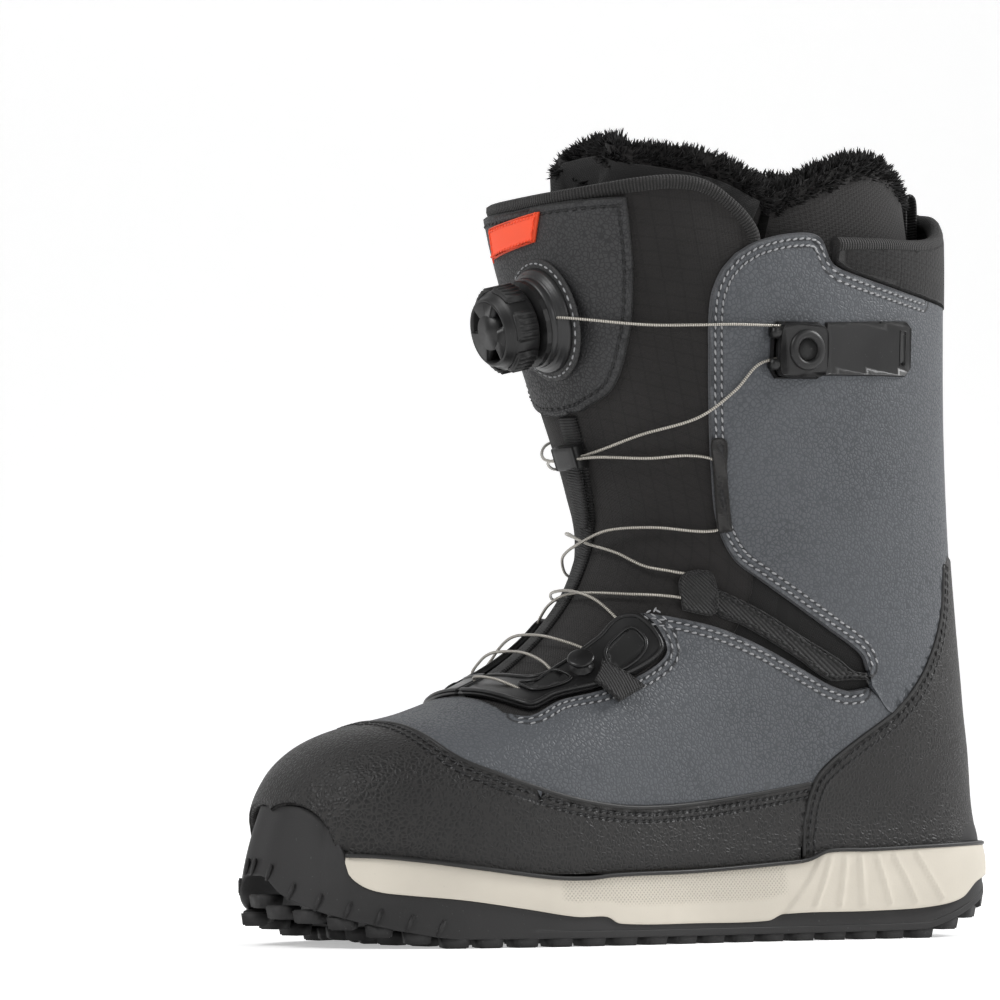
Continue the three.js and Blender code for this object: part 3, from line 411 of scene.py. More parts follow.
def write_weave(s: Shader, given: dict) -> dict:
    """Plain weave with a heavier thread every few millimetres."""
    a = s.math("DIVIDE", given["Along"], given["Pitch"])
    b = s.math("DIVIDE", given["Across"], given["Pitch"])
    warp = s.math("ABSOLUTE", s.math("SINE", s.math("MULTIPLY", a, PI)))
    weft = s.math("ABSOLUTE", s.math("SINE", s.math("MULTIPLY", b, PI)))
    over = s.math("PINGPONG", s.math("ADD", s.math("FLOOR", a), s.math("FLOOR", b)), 1.0)
    height = s.math("ADD", s.math("MULTIPLY", warp, over),
                    s.math("MULTIPLY", weft, s.math("SUBTRACT", 1.0, over)))
    strong = [s.ramp(s.math("ABSOLUTE",
                            s.math("SUBTRACT", s.math("FRACT", s.math("DIVIDE", given[way], 0.0052)),
                                               0.5)), 0.4, 0.5) for way in ("Along", "Across")]
    return {"Height": height, "Grid": s.math("MAXIMUM", strong[0], strong[1])}


def write_rib(s: Shader, given: dict) -> dict:
    """Ribs across a tape, each with small threads."""
    wave = s.math("SINE", s.math("MULTIPLY", s.math("DIVIDE", given["Along"], given["Pitch"]), 2 * PI))
    thread = s.math("SINE", s.math("MULTIPLY", s.math("DIVIDE", given["Across"], 0.0007), 2 * PI))
    rib = s.math("ADD", s.math("MULTIPLY", wave, 0.5), 0.5)
    return {"Height": s.math("ADD", s.math("POWER", rib, 0.7), s.math("MULTIPLY", thread, 0.12)), "Rib": rib}


def write_seam(s: Shader, given: dict) -> dict:
    """Grooves at two distances from a seam, and the folded edge beside it."""
    grooves = []
    for name in ("First", "Second"):
        away = s.math("ABSOLUTE", s.math("SUBTRACT", given["Edge"], given[name]))
        grooves.append(s.ramp(away, 0.0001, 0.0009, 1.0, 0.0))
    # Groove and Fold also carry painted light: Leather darkens the grooves as painted shade and lightens the
    # fold as a painted highlight.
    return {"Groove": s.math("MAXIMUM", grooves[0], grooves[1]),
            "Fold": s.ramp(given["Edge"], 0.0005, 0.0016, 1.0, 0.0)}


def write_dust(s: Shader, given: dict) -> dict:
    """Fine specks and broad rubbing."""
    specks = s.noise(given["Place"], 900.0, 1.0)
    broad = s.noise(given["Place"], 14.0, 4.0)
    return {"Speck": s.ramp(specks, 0.72, 0.8), "Rub": s.ramp(broad, 0.35, 0.75)}


def make_effects() -> None:
    """Builds every shared shader group once."""
    place = ("Vector", None)
    make_group(Effect.PEBBLE, {"Place": place, "Cells": ("Float", 480.0)}, ["Height", "Crease", "Tone"],
               write_pebble)
    make_group(Effect.WEAVE, {"Along": ("Float", 0.0), "Across": ("Float", 0.0), "Pitch": ("Float", 0.0007)},
               ["Height", "Grid"], write_weave)
    make_group(Effect.RIB, {"Along": ("Float", 0.0), "Across": ("Float", 0.0), "Pitch": ("Float", 0.001)},
               ["Height", "Rib"], write_rib)
    make_group(Effect.SEAM,
               {"Edge": ("Float", 1.0), "First": ("Float", 0.0023), "Second": ("Float", 0.0048)},
               ["Groove", "Fold"], write_seam)
    make_group(Effect.DUST, {"Place": place}, ["Speck", "Rub"], write_dust)


def use(s: Shader, effect: Effect, **inputs: object) -> dict[str, Socket]:
    """Places a shared group in a material and returns its outputs by name."""
    made = s.node("Group", node_tree=bpy.data.node_groups[effect.value])
    for name, value in inputs.items():
        s.put(made.inputs[name], value)
    return {o.name: o for o in made.outputs}


Colour = tuple[float, float, float]


def rgba(colour: Colour) -> tuple[float, float, float, float]:
    """Colour with full alpha."""
    return (*colour, 1.0)


@dataclass(frozen=True)
class Finish:
    """A material: its name, the record's slot it stands for, and its main look."""
    name: str
    slot: str
    colour: Colour
    roughness: float = 0.6

    def write(self, s: Shader, skin: bpy.types.Node) -> tuple[Socket | None, float]:
        """Adds the finish's own nodes and returns the height socket and its depth in metres."""
        return None, 0.0

    def material(self) -> bpy.types.Material:
        """The material, made on first use."""
        title = "finish_" + self.name
        ready = bpy.data.materials.get(title)
        if ready:
            return ready
        made = bpy.data.materials.new(title)
        made.use_nodes = True
        made.diffuse_color = rgba(self.colour)
        s = Shader(made.node_tree)
        skin = made.node_tree.nodes["Principled BSDF"]
        skin.inputs["Base Color"].default_value = rgba(self.colour)
        skin.inputs["Roughness"].default_value = self.roughness
        height, depth = self.write(s, skin)
        if height is not None:
            bump = s.node("Bump", {"Height": height, "Strength": 1.0, "Distance": depth})
            s.put(skin.inputs["Normal"], bump.outputs[0])
        return made


@dataclass(frozen=True)
class Leather(Finish):
    """Pebbled synthetic leather, with stitched grooves along its seams."""
    crease: Colour = (0.02, 0.02, 0.022)
    cells: float = 620.0
    depth: float = 0.00022
    first: float = 0.0023
    second: float = 0.0048
    # rim: painted highlight colour along the folded edge beside each seam.
    rim: Colour = (0.1, 0.1, 0.105)

    def write(self, s: Shader, skin: bpy.types.Node) -> tuple[Socket | None, float]:
        """Cells, creases, rubbing and seam grooves, with painted shade in the grooves and a painted
        highlight on the folded edges.
        """
        place = s.place()
        grain = use(s, Effect.PEBBLE, Place=place, Cells=self.cells)
        seam = use(s, Effect.SEAM, Edge=s.mark("edge"), First=self.first, Second=self.second)
        dust = use(s, Effect.DUST, Place=place)
        patchy = s.ramp(grain["Tone"], 0.3, 0.7, 0.55, 1.0)
        base = s.mix(s.math("MULTIPLY", grain["Crease"], s.math("MULTIPLY", patchy, 0.75)),
                     rgba(self.colour), rgba(self.crease))
        base = s.mix(s.math("MULTIPLY", dust["Rub"], 0.25), base, rgba(tuple(c * 1.35 for c in self.colour)))
        # Painted shade: the seam grooves, already sunk by the bump, are darkened almost to black.
        base = s.mix(s.math("MULTIPLY", seam["Groove"], 0.8), base, rgba((0.012, 0.012, 0.013)))
        # Painted highlight: the Fold mask lightens the folded edge towards the rim colour.
        base = s.mix(s.math("MULTIPLY", seam["Fold"], 0.55), base, rgba(self.rim))
        s.put(skin.inputs["Base Color"], base)
        s.put(skin.inputs["Roughness"],
              s.ramp(grain["Crease"], 0.0, 1.0, self.roughness, self.roughness + 0.22))
        skin.inputs["Specular IOR Level"].default_value = 0.32
        skin.inputs["Sheen Weight"].default_value = 0.0
        calm = s.math("SUBTRACT", 1.0, s.math("MULTIPLY", seam["Fold"], 0.8))
        height = s.math("MULTIPLY", grain["Height"], calm)
        return s.math("SUBTRACT", height, s.math("MULTIPLY", seam["Groove"], 2.2)), self.depth


@dataclass(frozen=True)
class Cloth(Finish):
    """Woven or brushed textile."""
    pitch: float = 0.0007
    depth: float = 0.00016
    grid: float = 0.35
    sheen: float = 0.25
    # lift: lighter tone, mixed in partly as a painted highlight on the thread crowns and partly as random
    # fibre tone.
    lift: Colour = (0.06, 0.056, 0.054)

    def write(self, s: Shader, skin: bpy.types.Node) -> tuple[Socket | None, float]:
        """Weave, fuzz and slight fading, with a painted highlight on the weave's thread crowns."""
        place = s.place()
        weave = use(s, Effect.WEAVE, Along=s.mark("along"), Across=s.mark("across"), Pitch=self.pitch)
        fuzz = s.noise(place, 1800.0, 3.0)
        broad = s.noise(place, 30.0, 3.0)
        # Painted highlight, partly: the weave's crowns lean to the lift colour; the fuzz and broad noise add
        # random fibre tone.
        tone = s.math("MULTIPLY", s.math("ADD", s.math("MULTIPLY", weave["Height"], 0.45),
                                         s.math("MULTIPLY", fuzz, 0.55)),
                                         s.ramp(broad, 0.25, 0.75, 0.5, 1.0))
        base = s.mix(tone, rgba(self.colour), rgba(self.lift))
        base = s.mix(s.math("MULTIPLY", weave["Grid"], self.grid), base,
                     rgba(tuple(c * 0.35 for c in self.colour)))
        s.put(skin.inputs["Base Color"], base)
        skin.inputs["Sheen Weight"].default_value = self.sheen
        skin.inputs["Sheen Roughness"].default_value = 0.6
        skin.inputs["Specular IOR Level"].default_value = 0.25
        height = s.math("ADD", s.math("MULTIPLY", weave["Height"], 0.6), fuzz)
        return s.math("ADD", height, s.math("MULTIPLY", weave["Grid"], self.grid)), self.depth


@dataclass(frozen=True)
class Tape(Finish):
    """Ribbed webbing or binding."""
    pitch: float = 0.0011
    depth: float = 0.0004
    # lift: painted highlight colour for the rib crests.
    lift: Colour = (0.075, 0.072, 0.07)

    def write(self, s: Shader, skin: bpy.types.Node) -> tuple[Socket | None, float]:
        """Ribs across the tape, with a painted highlight on their crests."""
        place = s.place()
        rib = use(s, Effect.RIB, Along=s.mark("along"), Across=s.mark("across"), Pitch=self.pitch)
        fuzz = s.noise(place, 1500.0, 3.0)
        # Painted highlight: the rib crests are mixed towards the lift colour, broken up by fuzz.
        base = s.mix(s.math("MULTIPLY", rib["Rib"], fuzz), rgba(self.colour), rgba(self.lift))
        s.put(skin.inputs["Base Color"], base)
        skin.inputs["Specular IOR Level"].default_value = 0.3
        skin.inputs["Sheen Weight"].default_value = 0.05
        return s.math("ADD", rib["Height"], s.math("MULTIPLY", fuzz, 0.35)), self.depth


@dataclass(frozen=True)
class Moulded(Finish):
    """Moulded rubber or plastic, with a fine texture and rubbed places."""
    depth: float = 0.00004
    grain: float = 1600.0
    dots: float = 0.0
    spread: float = 0.12

    def write(self, s: Shader, skin: bpy.types.Node) -> tuple[Socket | None, float]:
        """Fine grain, specks and rubbing, and a dotted zone where the mesh marks one, its dimples painted
        darker as painted shade.
        """
        place = s.place()
        dust = use(s, Effect.DUST, Place=place)
        fine = s.noise(place, self.grain, 2.0)
        lighter = tuple(min(1.0, c * (1 + 2.2 * self.spread) + 0.006) for c in self.colour)
        darker = tuple(c * (1 - self.spread) for c in self.colour)
        base = s.mix(dust["Rub"], rgba(darker), rgba(lighter))
        base = s.mix(s.math("MULTIPLY", dust["Speck"], 0.25), base,
                     rgba(tuple(c * 0.5 + 0.12 for c in self.colour)))
        height = fine
        if self.dots:
            turns = 2 * PI / self.dots
            rows = [s.math("SINE", s.math("MULTIPLY", s.mark(way), turns)) for way in ("along", "across")]
            dot = s.ramp(s.math("MULTIPLY", rows[0], rows[1]), 0.1, 0.6)
            dot = s.math("MULTIPLY", dot, s.mark("zone"))
            # Painted shade: the sunken dots are darkened in colour as well as in the bump.
            base = s.mix(s.math("MULTIPLY", dot, 0.5), base, rgba(tuple(c * 0.5 for c in self.colour)))
            height = s.math("SUBTRACT", fine, s.math("MULTIPLY", dot, 3.0))
        s.put(skin.inputs["Base Color"], base)
        skin.inputs["Specular IOR Level"].default_value = 0.34
        s.put(skin.inputs["Roughness"], s.ramp(dust["Rub"], 0.0, 1.0, self.roughness, self.roughness + 0.12))
        return height, self.depth


@dataclass(frozen=True)
class Cable(Finish):
    """Twisted steel cable under a clear coat."""

    def write(self, s: Shader, skin: bpy.types.Node) -> tuple[Socket | None, float]:
        """Strands wound round the cable, with painted shade in the troughs between them."""
        turn = s.math("ADD", s.math("DIVIDE", s.mark("along"), 0.0042), s.mark("across"))
        strand = s.math("ADD", s.math("MULTIPLY", s.math("SINE", s.math("MULTIPLY", turn, 2 * PI * 5)), 0.5),
                        0.5)
        # Painted shade: the troughs between strands are mixed towards a dark brown.
        s.put(skin.inputs["Base Color"], s.mix(strand, rgba((0.16, 0.15, 0.13)), rgba(self.colour)))
        skin.inputs["Metallic"].default_value = 0.55
        return strand, 0.00012


@dataclass(frozen=True)
class Pile(Finish):
    """Deep synthetic fur."""

    def write(self, s: Shader, skin: bpy.types.Node) -> tuple[Socket | None, float]:
        """Colour that lightens towards the tips."""
        clump = s.noise(s.place(), 160.0, 2.0)
        tip = s.math("MULTIPLY", s.mark("tip"), s.ramp(clump, 0.3, 0.7))
        s.put(skin.inputs["Base Color"], s.mix(tip, rgba(self.colour), rgba((0.016, 0.0152, 0.0155))))
        skin.inputs["Specular IOR Level"].default_value = 0.2
        skin.inputs["Sheen Weight"].default_value = 0.05
        return None, 0.0


# Each leather's rim colour is a painted highlight on its folded edges; the shield's rim equals its own
# colour, so it paints none.
GREY_LEATHER = Leather("grey_leather", "grey_leather", (0.074, 0.079, 0.087), 0.5,
                       crease=(0.04, 0.043, 0.048),
                      depth=0.00013)
SHIELD_LEATHER = Leather("shield_leather", "grey_leather", (0.03, 0.03, 0.031), 0.55,
                         crease=(0.014, 0.014, 0.015),
                         depth=0.00012, first=0.0032, second=0.0032, rim=(0.03, 0.03, 0.03))
DARK_LEATHER = Leather("dark_leather", "dark_leather", (0.0095, 0.0092, 0.0092), 0.45,
                       crease=(0.034, 0.032, 0.031),
                       cells=590.0, depth=0.00015, rim=(0.03, 0.029, 0.028))
TONGUE_CLOTH = Cloth("tongue_cloth", "black_textile", (0.0062, 0.0056, 0.0054), 0.85,
                     lift=(0.022, 0.02, 0.0195), sheen=0.06)
GUSSET_CLOTH = Cloth("gusset_cloth", "black_textile", (0.005, 0.0048, 0.0048), 0.8, grid=0.0,
                     lift=(0.014, 0.0135, 0.0135),
                     sheen=0.05)
COLLAR_CLOTH = Cloth("collar_cloth", "black_textile", (0.0055, 0.0052, 0.0052), 0.85, pitch=0.0012,
                     lift=(0.018, 0.017, 0.017),
                     sheen=0.06)
LINER_CLOTH = Cloth("liner_cloth", "liner_fabric", (0.0065, 0.006, 0.006), 0.9, grid=0.0, pitch=0.0009,
                    lift=(0.022, 0.02, 0.0195), sheen=0.08)
WEBBING = Tape("ribbed_webbing", "webbing", (0.0055, 0.0054, 0.0055), 0.7, lift=(0.032, 0.031, 0.031))
BINDING = Tape("ribbed_binding", "black_textile", (0.006, 0.0057, 0.0057), 0.75, pitch=0.0012,
               lift=(0.045, 0.043, 0.042))
PIPING = Moulded("edge_piping", "dark_leather", (0.012, 0.0118, 0.0118), 0.4)
BLACK_THREAD = Moulded("black_thread", "dark_leather", (0.01, 0.01, 0.01), 0.5)
GREY_THREAD = Moulded("grey_thread", "grey_leather", (0.26, 0.262, 0.27), 0.6)
RUBBER = Moulded("sole_rubber", "black_rubber", (0.017, 0.0165, 0.0168), 0.6, depth=0.00005)
BUMPER = Moulded("heel_rubber", "black_rubber", (0.011, 0.0107, 0.011), 0.55)
CREAM = Moulded("midsole_cream", "cream_midsole", (0.54, 0.5, 0.43), 0.62, dots=0.0016, spread=0.05,
                depth=0.00006)
NYLON = Moulded("moulded_nylon", "moulded_plastic", (0.0075, 0.0074, 0.0076), 0.34, depth=0.00003)
# Painted shade: darker nylon for the plates and disc that stand for the shade in the guide windows, the
# clip's hole and the leaf's slot.
SHADE_NYLON = Moulded("shadowed_nylon", "moulded_plastic", (0.006, 0.006, 0.006), 0.5)
GREY_NYLON = Moulded("dial_ring_nylon", "moulded_plastic", (0.02, 0.02, 0.0205), 0.28)
GRIP_RUBBER = Moulded("grip_rubber", "black_rubber", (0.011, 0.0108, 0.011), 0.45)
STEEL_CABLE = Cable("lace_steel", "lace_cable", (0.5, 0.47, 0.42), 0.32)
FUR = Pile("fur_pile", "fur_pile", (0.0032, 0.003, 0.003), 0.9)
TAG = Moulded("orange_tag", "orange_tag", (0.82, 0.075, 0.022), 0.5, spread=0.04)
BOARD = Cloth("board_fabric", "fibre_board", (0.03, 0.028, 0.026), 0.9, lift=(0.06, 0.056, 0.05), grid=0.0)
STEEL = Moulded("shank_steel", "spring_steel", (0.35, 0.35, 0.35), 0.35)


# ------------------------------------------------------------------ mesh work
def keep(bm: Mesh, name: str, finish: Finish, *, body: str = ROOT, stands_for: Sequence[str] = (),
         weld: float = 2e-5, outward: bool = True) -> bpy.types.Object:
    """Turns a finished bmesh into a piece of the boot.

    Args:
        bm: the mesh, which is freed.
        name: the piece's name.
        finish: its material.
        body: the moving body that carries it.
        stands_for: CAD nodes it takes the place of.
        weld: vertices nearer than this become one.
        outward: whether to turn every face outwards.

    Returns:
        The object.
    """
    if weld:
        bmesh.ops.remove_doubles(bm, verts=bm.verts[:], dist=weld)
        bmesh.ops.dissolve_degenerate(bm, edges=bm.edges[:], dist=1e-6)
    if outward:
        bmesh.ops.recalc_face_normals(bm, faces=bm.faces[:])
    for face in bm.faces:
        face.smooth = True
    title = name + "_form"
    mesh = bpy.data.meshes.new(title)
    bm.to_mesh(mesh)
    bm.free()
    piece = bpy.data.objects.new(title, mesh)
    bpy.context.scene.collection.objects.link(piece)
    mesh.materials.append(finish.material())
    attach(piece, body)
    if stands_for:
        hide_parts(*stands_for)
    LOG.info("%s: %d faces", name, len(mesh.polygons))
    return piece


def mapped_grid(across: int, along: int, place: Callable[[Array, Array], Array],
                marks: Callable[[Array, Array], dict[str, Array]] | None = None) -> Mesh:
    """Grid whose vertices are moved to place(s, t), with s and t from 0 to 1.

    Args:
        across: number of faces in s.
        along: number of faces in t.
        place: positions for arrays of s and t.
        marks: named values kept on the vertices.

    Returns:
        The mesh.
    """
    bm = bmesh.new()
    bmesh.ops.create_grid(bm, x_segments=across, y_segments=along, size=0.5)
    st = np.array([v.co[:2] for v in bm.verts]) + 0.5
    spots = place(st[:, 0], st[:, 1])
    for vert, spot in zip(bm.verts, spots):
        vert.co = spot
    for name, values in (marks(st[:, 0], st[:, 1]) if marks else {}).items():
        layer = bm.verts.layers.float.new(name)
        for vert, value in zip(bm.verts, values):
            vert[layer] = value
    return bm


def frames_along(path: Array, normals: Array, closed: bool = False) -> tuple[Array, Array]:
    """Side and out directions at each point of a path."""
    ahead = np.roll(path, -1, 0) - np.roll(path, 1, 0)
    if not closed:
        ahead[0], ahead[-1] = path[1] - path[0], path[-1] - path[-2]
    ahead = unit(ahead)
    out = unit(normals - (normals * ahead).sum(1, keepdims=True) * ahead)
    return unit(np.cross(out, ahead)), out


def swept(path: Array, normals: Array, profile: Points, closed: bool = False,
          scale: Array | None = None) -> Mesh:
    """Closed profile carried along a path.

    Args:
        path: points in metres.
        normals: outward direction at each point.
        profile: closed outline of (side, out) in metres, without its first point again.
        closed: whether the path is a loop.
        scale: size of the profile at each point.

    Returns:
        The mesh, with along and across kept on its vertices.
    """
    side, out = frames_along(path, normals, closed)
    ring = np.array(list(profile) + [profile[0]], float)
    grow = np.ones(len(path)) if scale is None else scale
    if closed:
        path, side, out, grow = (np.concatenate([a, a[:1]]) for a in (path, side, out, grow))
    length, girth = run_along(path), run_along(ring)
    count, turns = len(path) - 1, len(ring) - 1

    def place(s: Array, t: Array) -> Array:
        i, j = np.rint(t * count).astype(int), np.rint(s * turns).astype(int)
        return path[i] + (side[i] * ring[j, :1] + out[i] * ring[j, 1:]) * grow[i, None]

    def marks(s: Array, t: Array) -> dict[str, Array]:
        i, j = np.rint(t * count).astype(int), np.rint(s * turns).astype(int)
        return {"along": length[i], "across": girth[j]}

    bm = mapped_grid(turns, count, place, marks)
    bmesh.ops.remove_doubles(bm, verts=bm.verts[:], dist=1e-6)
    if not closed:
        bmesh.ops.holes_fill(bm, edges=[e for e in bm.edges if e.is_boundary], sides=0)
    return bm


def round_profile(radius: float, sides: int = 8, flat: float = 1.0) -> list[tuple[float, float]]:
    """Outline of a round or flattened cord."""
    return [(radius * math.cos(2 * PI * k / sides),
             radius * flat * math.sin(2 * PI * k / sides)) for k in range(sides)]


def tape_profile(width: float, thick: float, crown: float = 0.0) -> list[tuple[float, float]]:
    """Outline of a flat tape with rounded edges, lying on the path."""
    w, e = width / 2, thick * 0.35
    return [(-w, 0), (w, 0), (w + e * 0.4, thick / 2), (w - e * 0.6, thick), (w * 0.4, thick + crown),
            (-w * 0.4, thick + crown), (-w + e * 0.6, thick), (-w - e * 0.4, thick / 2)]


def copies(template: Mesh, places: Array, rise: str | None = None) -> Mesh:
    """Many placed copies of one small shape.

    Args:
        template: the shape, which is freed.
        places: (n, 4, 4) matrices.
        rise: name of a value kept on the vertices, their height in the template.

    Returns:
        One mesh with every copy.
    """
    shape = np.array([v.co[:] for v in template.verts])
    template.verts.index_update()
    faces = [[v.index for v in f.verts] for f in template.faces]
    template.free()
    count = len(shape)
    spots = (np.einsum("nij,kj->nki", places[:, :3, :3], shape) + places[:, None, :3, 3]).reshape(-1, 3)
    mesh = bpy.data.meshes.new("copies")
    mesh.from_pydata(spots.tolist(), [],
                     [[i + n * count for i in f] for n in range(len(places)) for f in faces])
    bm = bmesh.new()
    bm.from_mesh(mesh)
    bpy.data.meshes.remove(mesh)
    if rise:
        layer = bm.verts.layers.float.new(rise)
        tall = shape[:, 2] / max(shape[:, 2].max(), 1e-9)
        for k, vert in enumerate(bm.verts):
            vert[layer] = tall[k % count]
    return bm


def matrices(spots: Array, x: Array, z: Array, size: Points) -> Array:
    """Placing matrices from spots, an x and a z direction, and a size along each axis."""
    y = unit(np.cross(z, x))
    x = np.cross(y, z)
    size = np.broadcast_to(np.array(size, float), (len(spots), 3))
    made = np.tile(np.eye(4), (len(spots), 1, 1))
    made[:, :3, 0], made[:, :3, 1], made[:, :3, 2] = x * size[:, :1], y * size[:, 1:2], z * size[:, 2:]
    made[:, :3, 3] = spots
    return made


def thread_bead() -> Mesh:
    """Bead of radius one, its poles along x, that becomes one stitch when scaled."""
    bead = bmesh.new()
    turn = Matrix.Rotation(PI / 2, 4, "Y")
    bmesh.ops.create_uvsphere(bead, u_segments=6, v_segments=5, radius=1.0, matrix=turn)
    return bead


@dataclass
class Panel:
    """A piece of leather or cloth on the last, cut to an outline of (v, u) points."""
    last: Last
    outline: Array
    seams: list[Array] = field(default_factory=list)
    lift: float = 0.0
    thick: float = 2.0 * MM
    edge_round: float = 0.8 * MM
    puff: float = 0.0
    puff_from: float = 5.5 * MM
    v_step: float = 0.1
    u_step: float = 0.05
    depth: Callable[[Array, Array], Array] | None = None
    under_round: float = 0.0
    weave_angle: float | None = None
    rings: Sequence[float] = (0.35 * MM, 0.5 * MM)
    skirt: Callable[[Array], Array] | None = None

    def base(self, v: Array, u: Array) -> Array:
        """Surface that the panel follows, before its lift."""
        if self.depth is None:
            return self.last.point(v, u)
        return self.last.lifted(v, u, -self.depth(v, u))

    def mesh(self) -> Mesh:
        """The finished panel, closed, with edge, along and across kept on its vertices."""
        bm = bmesh.new()
        bm.faces.new([bm.verts.new((v, u, 0)) for v, u in self.outline])
        for axis, step in ((0, self.v_step), (1, self.u_step)):
            low, high = self.outline[:, axis].min(), self.outline[:, axis].max()
            way = (1, 0, 0) if axis == 0 else (0, 1, 0)
            for cut in np.arange(math.ceil(low / step) * step, high, step):
                bmesh.ops.bisect_plane(bm, geom=bm.verts[:] + bm.edges[:] + bm.faces[:], dist=1e-5,
                                       plane_co=(cut, cut, 0), plane_no=way)
        kept = [bm.verts.layers.float.new(name) for name in ("v", "u", "top")]
        flat = np.array([v.co[:2] for v in bm.verts])
        for vert, (v, u), spot in zip(bm.verts, flat, self.base(flat[:, 0], flat[:, 1])):
            vert[kept[0]], vert[kept[1]] = v, u
            vert.co = spot
        bmesh.ops.remove_doubles(bm, verts=bm.verts[:], dist=0.4 * MM)
        bmesh.ops.dissolve_degenerate(bm, edges=bm.edges[:], dist=0.05 * MM)
        for width in self.rings:
            bmesh.ops.inset_region(bm, faces=bm.faces[:], thickness=width, use_boundary=True,
                                   use_even_offset=True)
        vu = np.array([(v[kept[0]], v[kept[1]]) for v in bm.verts])
        spots = np.array([v.co[:] for v in bm.verts])
        if self.depth is None:
            vu = self.last.nearest(spots, vu)
        border = np.array([v.is_boundary for v in bm.verts])
        rim = self.base(self.outline[:, 0], self.outline[:, 1])
        away = far_from(spots, looped(rim))
        away[border] = 0
        edge = np.full(len(spots), 1.0)
        for seam in self.seams:
            edge = np.minimum(edge, far_from(spots, self.base(seam[:, 0], seam[:, 1])))
        marks = {n: bm.verts.layers.float.new(n) for n in ("edge", "along", "across", "away")}
        along, across = self.weave(vu, spots)
        for k, vert in enumerate(bm.verts):
            vert[kept[0]], vert[kept[1]] = vu[k]
            vert[marks["edge"]], vert[marks["away"]] = edge[k], away[k]
            vert[marks["along"]], vert[marks["across"]] = along[k], across[k]
        made = bmesh.ops.extrude_face_region(bm, geom=bm.faces[:], use_keep_orig=True)
        for item in made["geom"]:
            if isinstance(item, bmesh.types.BMVert):
                item[kept[2]] = 1.0
        rows = np.array([[v[kept[0]], v[kept[1]], v[kept[2]], v[marks["edge"]],
                          v[marks["away"]]] for v in bm.verts])
        top = rows[:, 2] > 0.5
        height = np.where(top, self.lift + self.crown(rows[:, 3], rows[:, 4]),
                          self.lift - self.thick + self.hollow(rows[:, 4]))
        base = self.base(rows[:, 0], rows[:, 1])
        spots = base + self.last.normal(rows[:, 0], rows[:, 1]) * height[:, None]
        if self.skirt is not None:
            spots = spots + self.skirt(base)
        for vert, spot in zip(bm.verts, spots):
            vert.co = spot
        return bm

    def crown(self, edge: Array, away: Array) -> Array:
        """Height of the top over its lift: rounded at the edge, swelling inwards from the stitching."""
        r = self.edge_round
        short = np.clip(r - away, 0, r)
        swell = self.puff * (1 - np.exp(-np.maximum(edge - self.puff_from, 0) / (7 * MM)))
        return swell - (r - np.sqrt(np.maximum(r * r - short * short, 0)))

    def hollow(self, away: Array) -> Array:
        """Rise of the underside near a padded edge."""
        r = self.under_round
        short = np.clip(r - away, 0, r)
        return r - np.sqrt(np.maximum(r * r - short * short, 0))

    def weave(self, vu: Array, spots: Array) -> tuple[Array, Array]:
        """Distances along and across the cloth, in metres."""
        if self.weave_angle is not None:
            c, s = math.cos(self.weave_angle), math.sin(self.weave_angle)
            return spots[:, 1] * c + spots[:, 2] * s, spots[:, 2] * c - spots[:, 1] * s
        rail = np.linspace(0, 20, 401)
        run = run_along(self.last.point(rail, np.full(401, 2.2)))
        return np.interp(vu[:, 0], rail, run), vu[:, 1] * 0.048

    def inward(self) -> float:
        """Which side of its travel the outline's inside lies on."""
        a, b = self.outline, np.roll(self.outline, -1, 0)
        return float(np.sign((a[:, 0] * b[:, 1] - b[:, 0] * a[:, 1]).sum()))

    def rail(self, seam: Array, distance: float, step: float, height: float) -> tuple[Array, Array]:
        """Line on the panel's face beside a seam.

        Args:
            seam: part of the outline, as (v, u), in the outline's direction.
            distance: metres in from the seam.
            step: spacing of the points in metres.
            height: metres above the panel's face.

        Returns:
            Points and outward normals.
        """
        run = run_along(self.base(seam[:, 0], seam[:, 1]))
        marks = np.linspace(0, run[-1], max(3, int(run[-1] / step) + 1))
        vu = np.stack([np.interp(marks, run, seam[:, k]) for k in (0, 1)], 1)
        spots = self.base(vu[:, 0], vu[:, 1])
        normals = self.last.normal(vu[:, 0], vu[:, 1])
        side, _ = frames_along(spots, normals)
        moved = spots + side * distance * self.inward()
        if self.depth is None:
            vu = self.last.nearest(moved, vu)
            normals = self.last.normal(vu[:, 0], vu[:, 1])
            moved = self.last.point(vu[:, 0], vu[:, 1])
        shift = self.skirt(moved) if self.skirt is not None else 0.0
        return moved + normals * (self.lift + height) + shift, normals

    def stitches(self, name: str, finish: Finish, distances: Sequence[float] = (2.3 * MM, 4.8 * MM), *,
                 pitch: float = 3.1 * MM, body: str = ROOT) -> bpy.types.Object:
        """Rows of thread beside every seam, each stitch a small bead."""
        placed = []
        for seam in self.seams:
            for distance in distances:
                spots, normals = self.rail(seam, distance, pitch, 0.06 * MM)
                side, _ = frames_along(spots, normals)
                ahead = unit(np.cross(side, normals))
                slant = unit(ahead + side * 0.2)
                placed.append(matrices(spots, slant, normals, (1.12 * MM, 0.4 * MM, 0.36 * MM)))
        return keep(copies(thread_bead(), np.concatenate(placed)), name, finish, body=body, weld=0)

    def piping(self, name: str, finish: Finish, radius: float = 0.85 * MM,
               distance: float = 0.0) -> bpy.types.Object:
        """Round cord along every seam's edge."""
        bm = bmesh.new()
        parts = []
        for seam in self.seams:
            spots, normals = self.rail(seam, distance, 1.2 * MM, -0.55 * MM)
            parts.append(swept(spots, normals, round_profile(radius, 8)))
        return keep(joined(bm, parts), name, finish)


def joined(bm: Mesh, parts: Sequence[Mesh]) -> Mesh:
    """One mesh of several, which are freed."""
    for part in parts:
        mesh = bpy.data.meshes.new("part")
        part.to_mesh(mesh)
        part.free()
        bm.from_mesh(mesh)
        bpy.data.meshes.remove(mesh)
    return bm


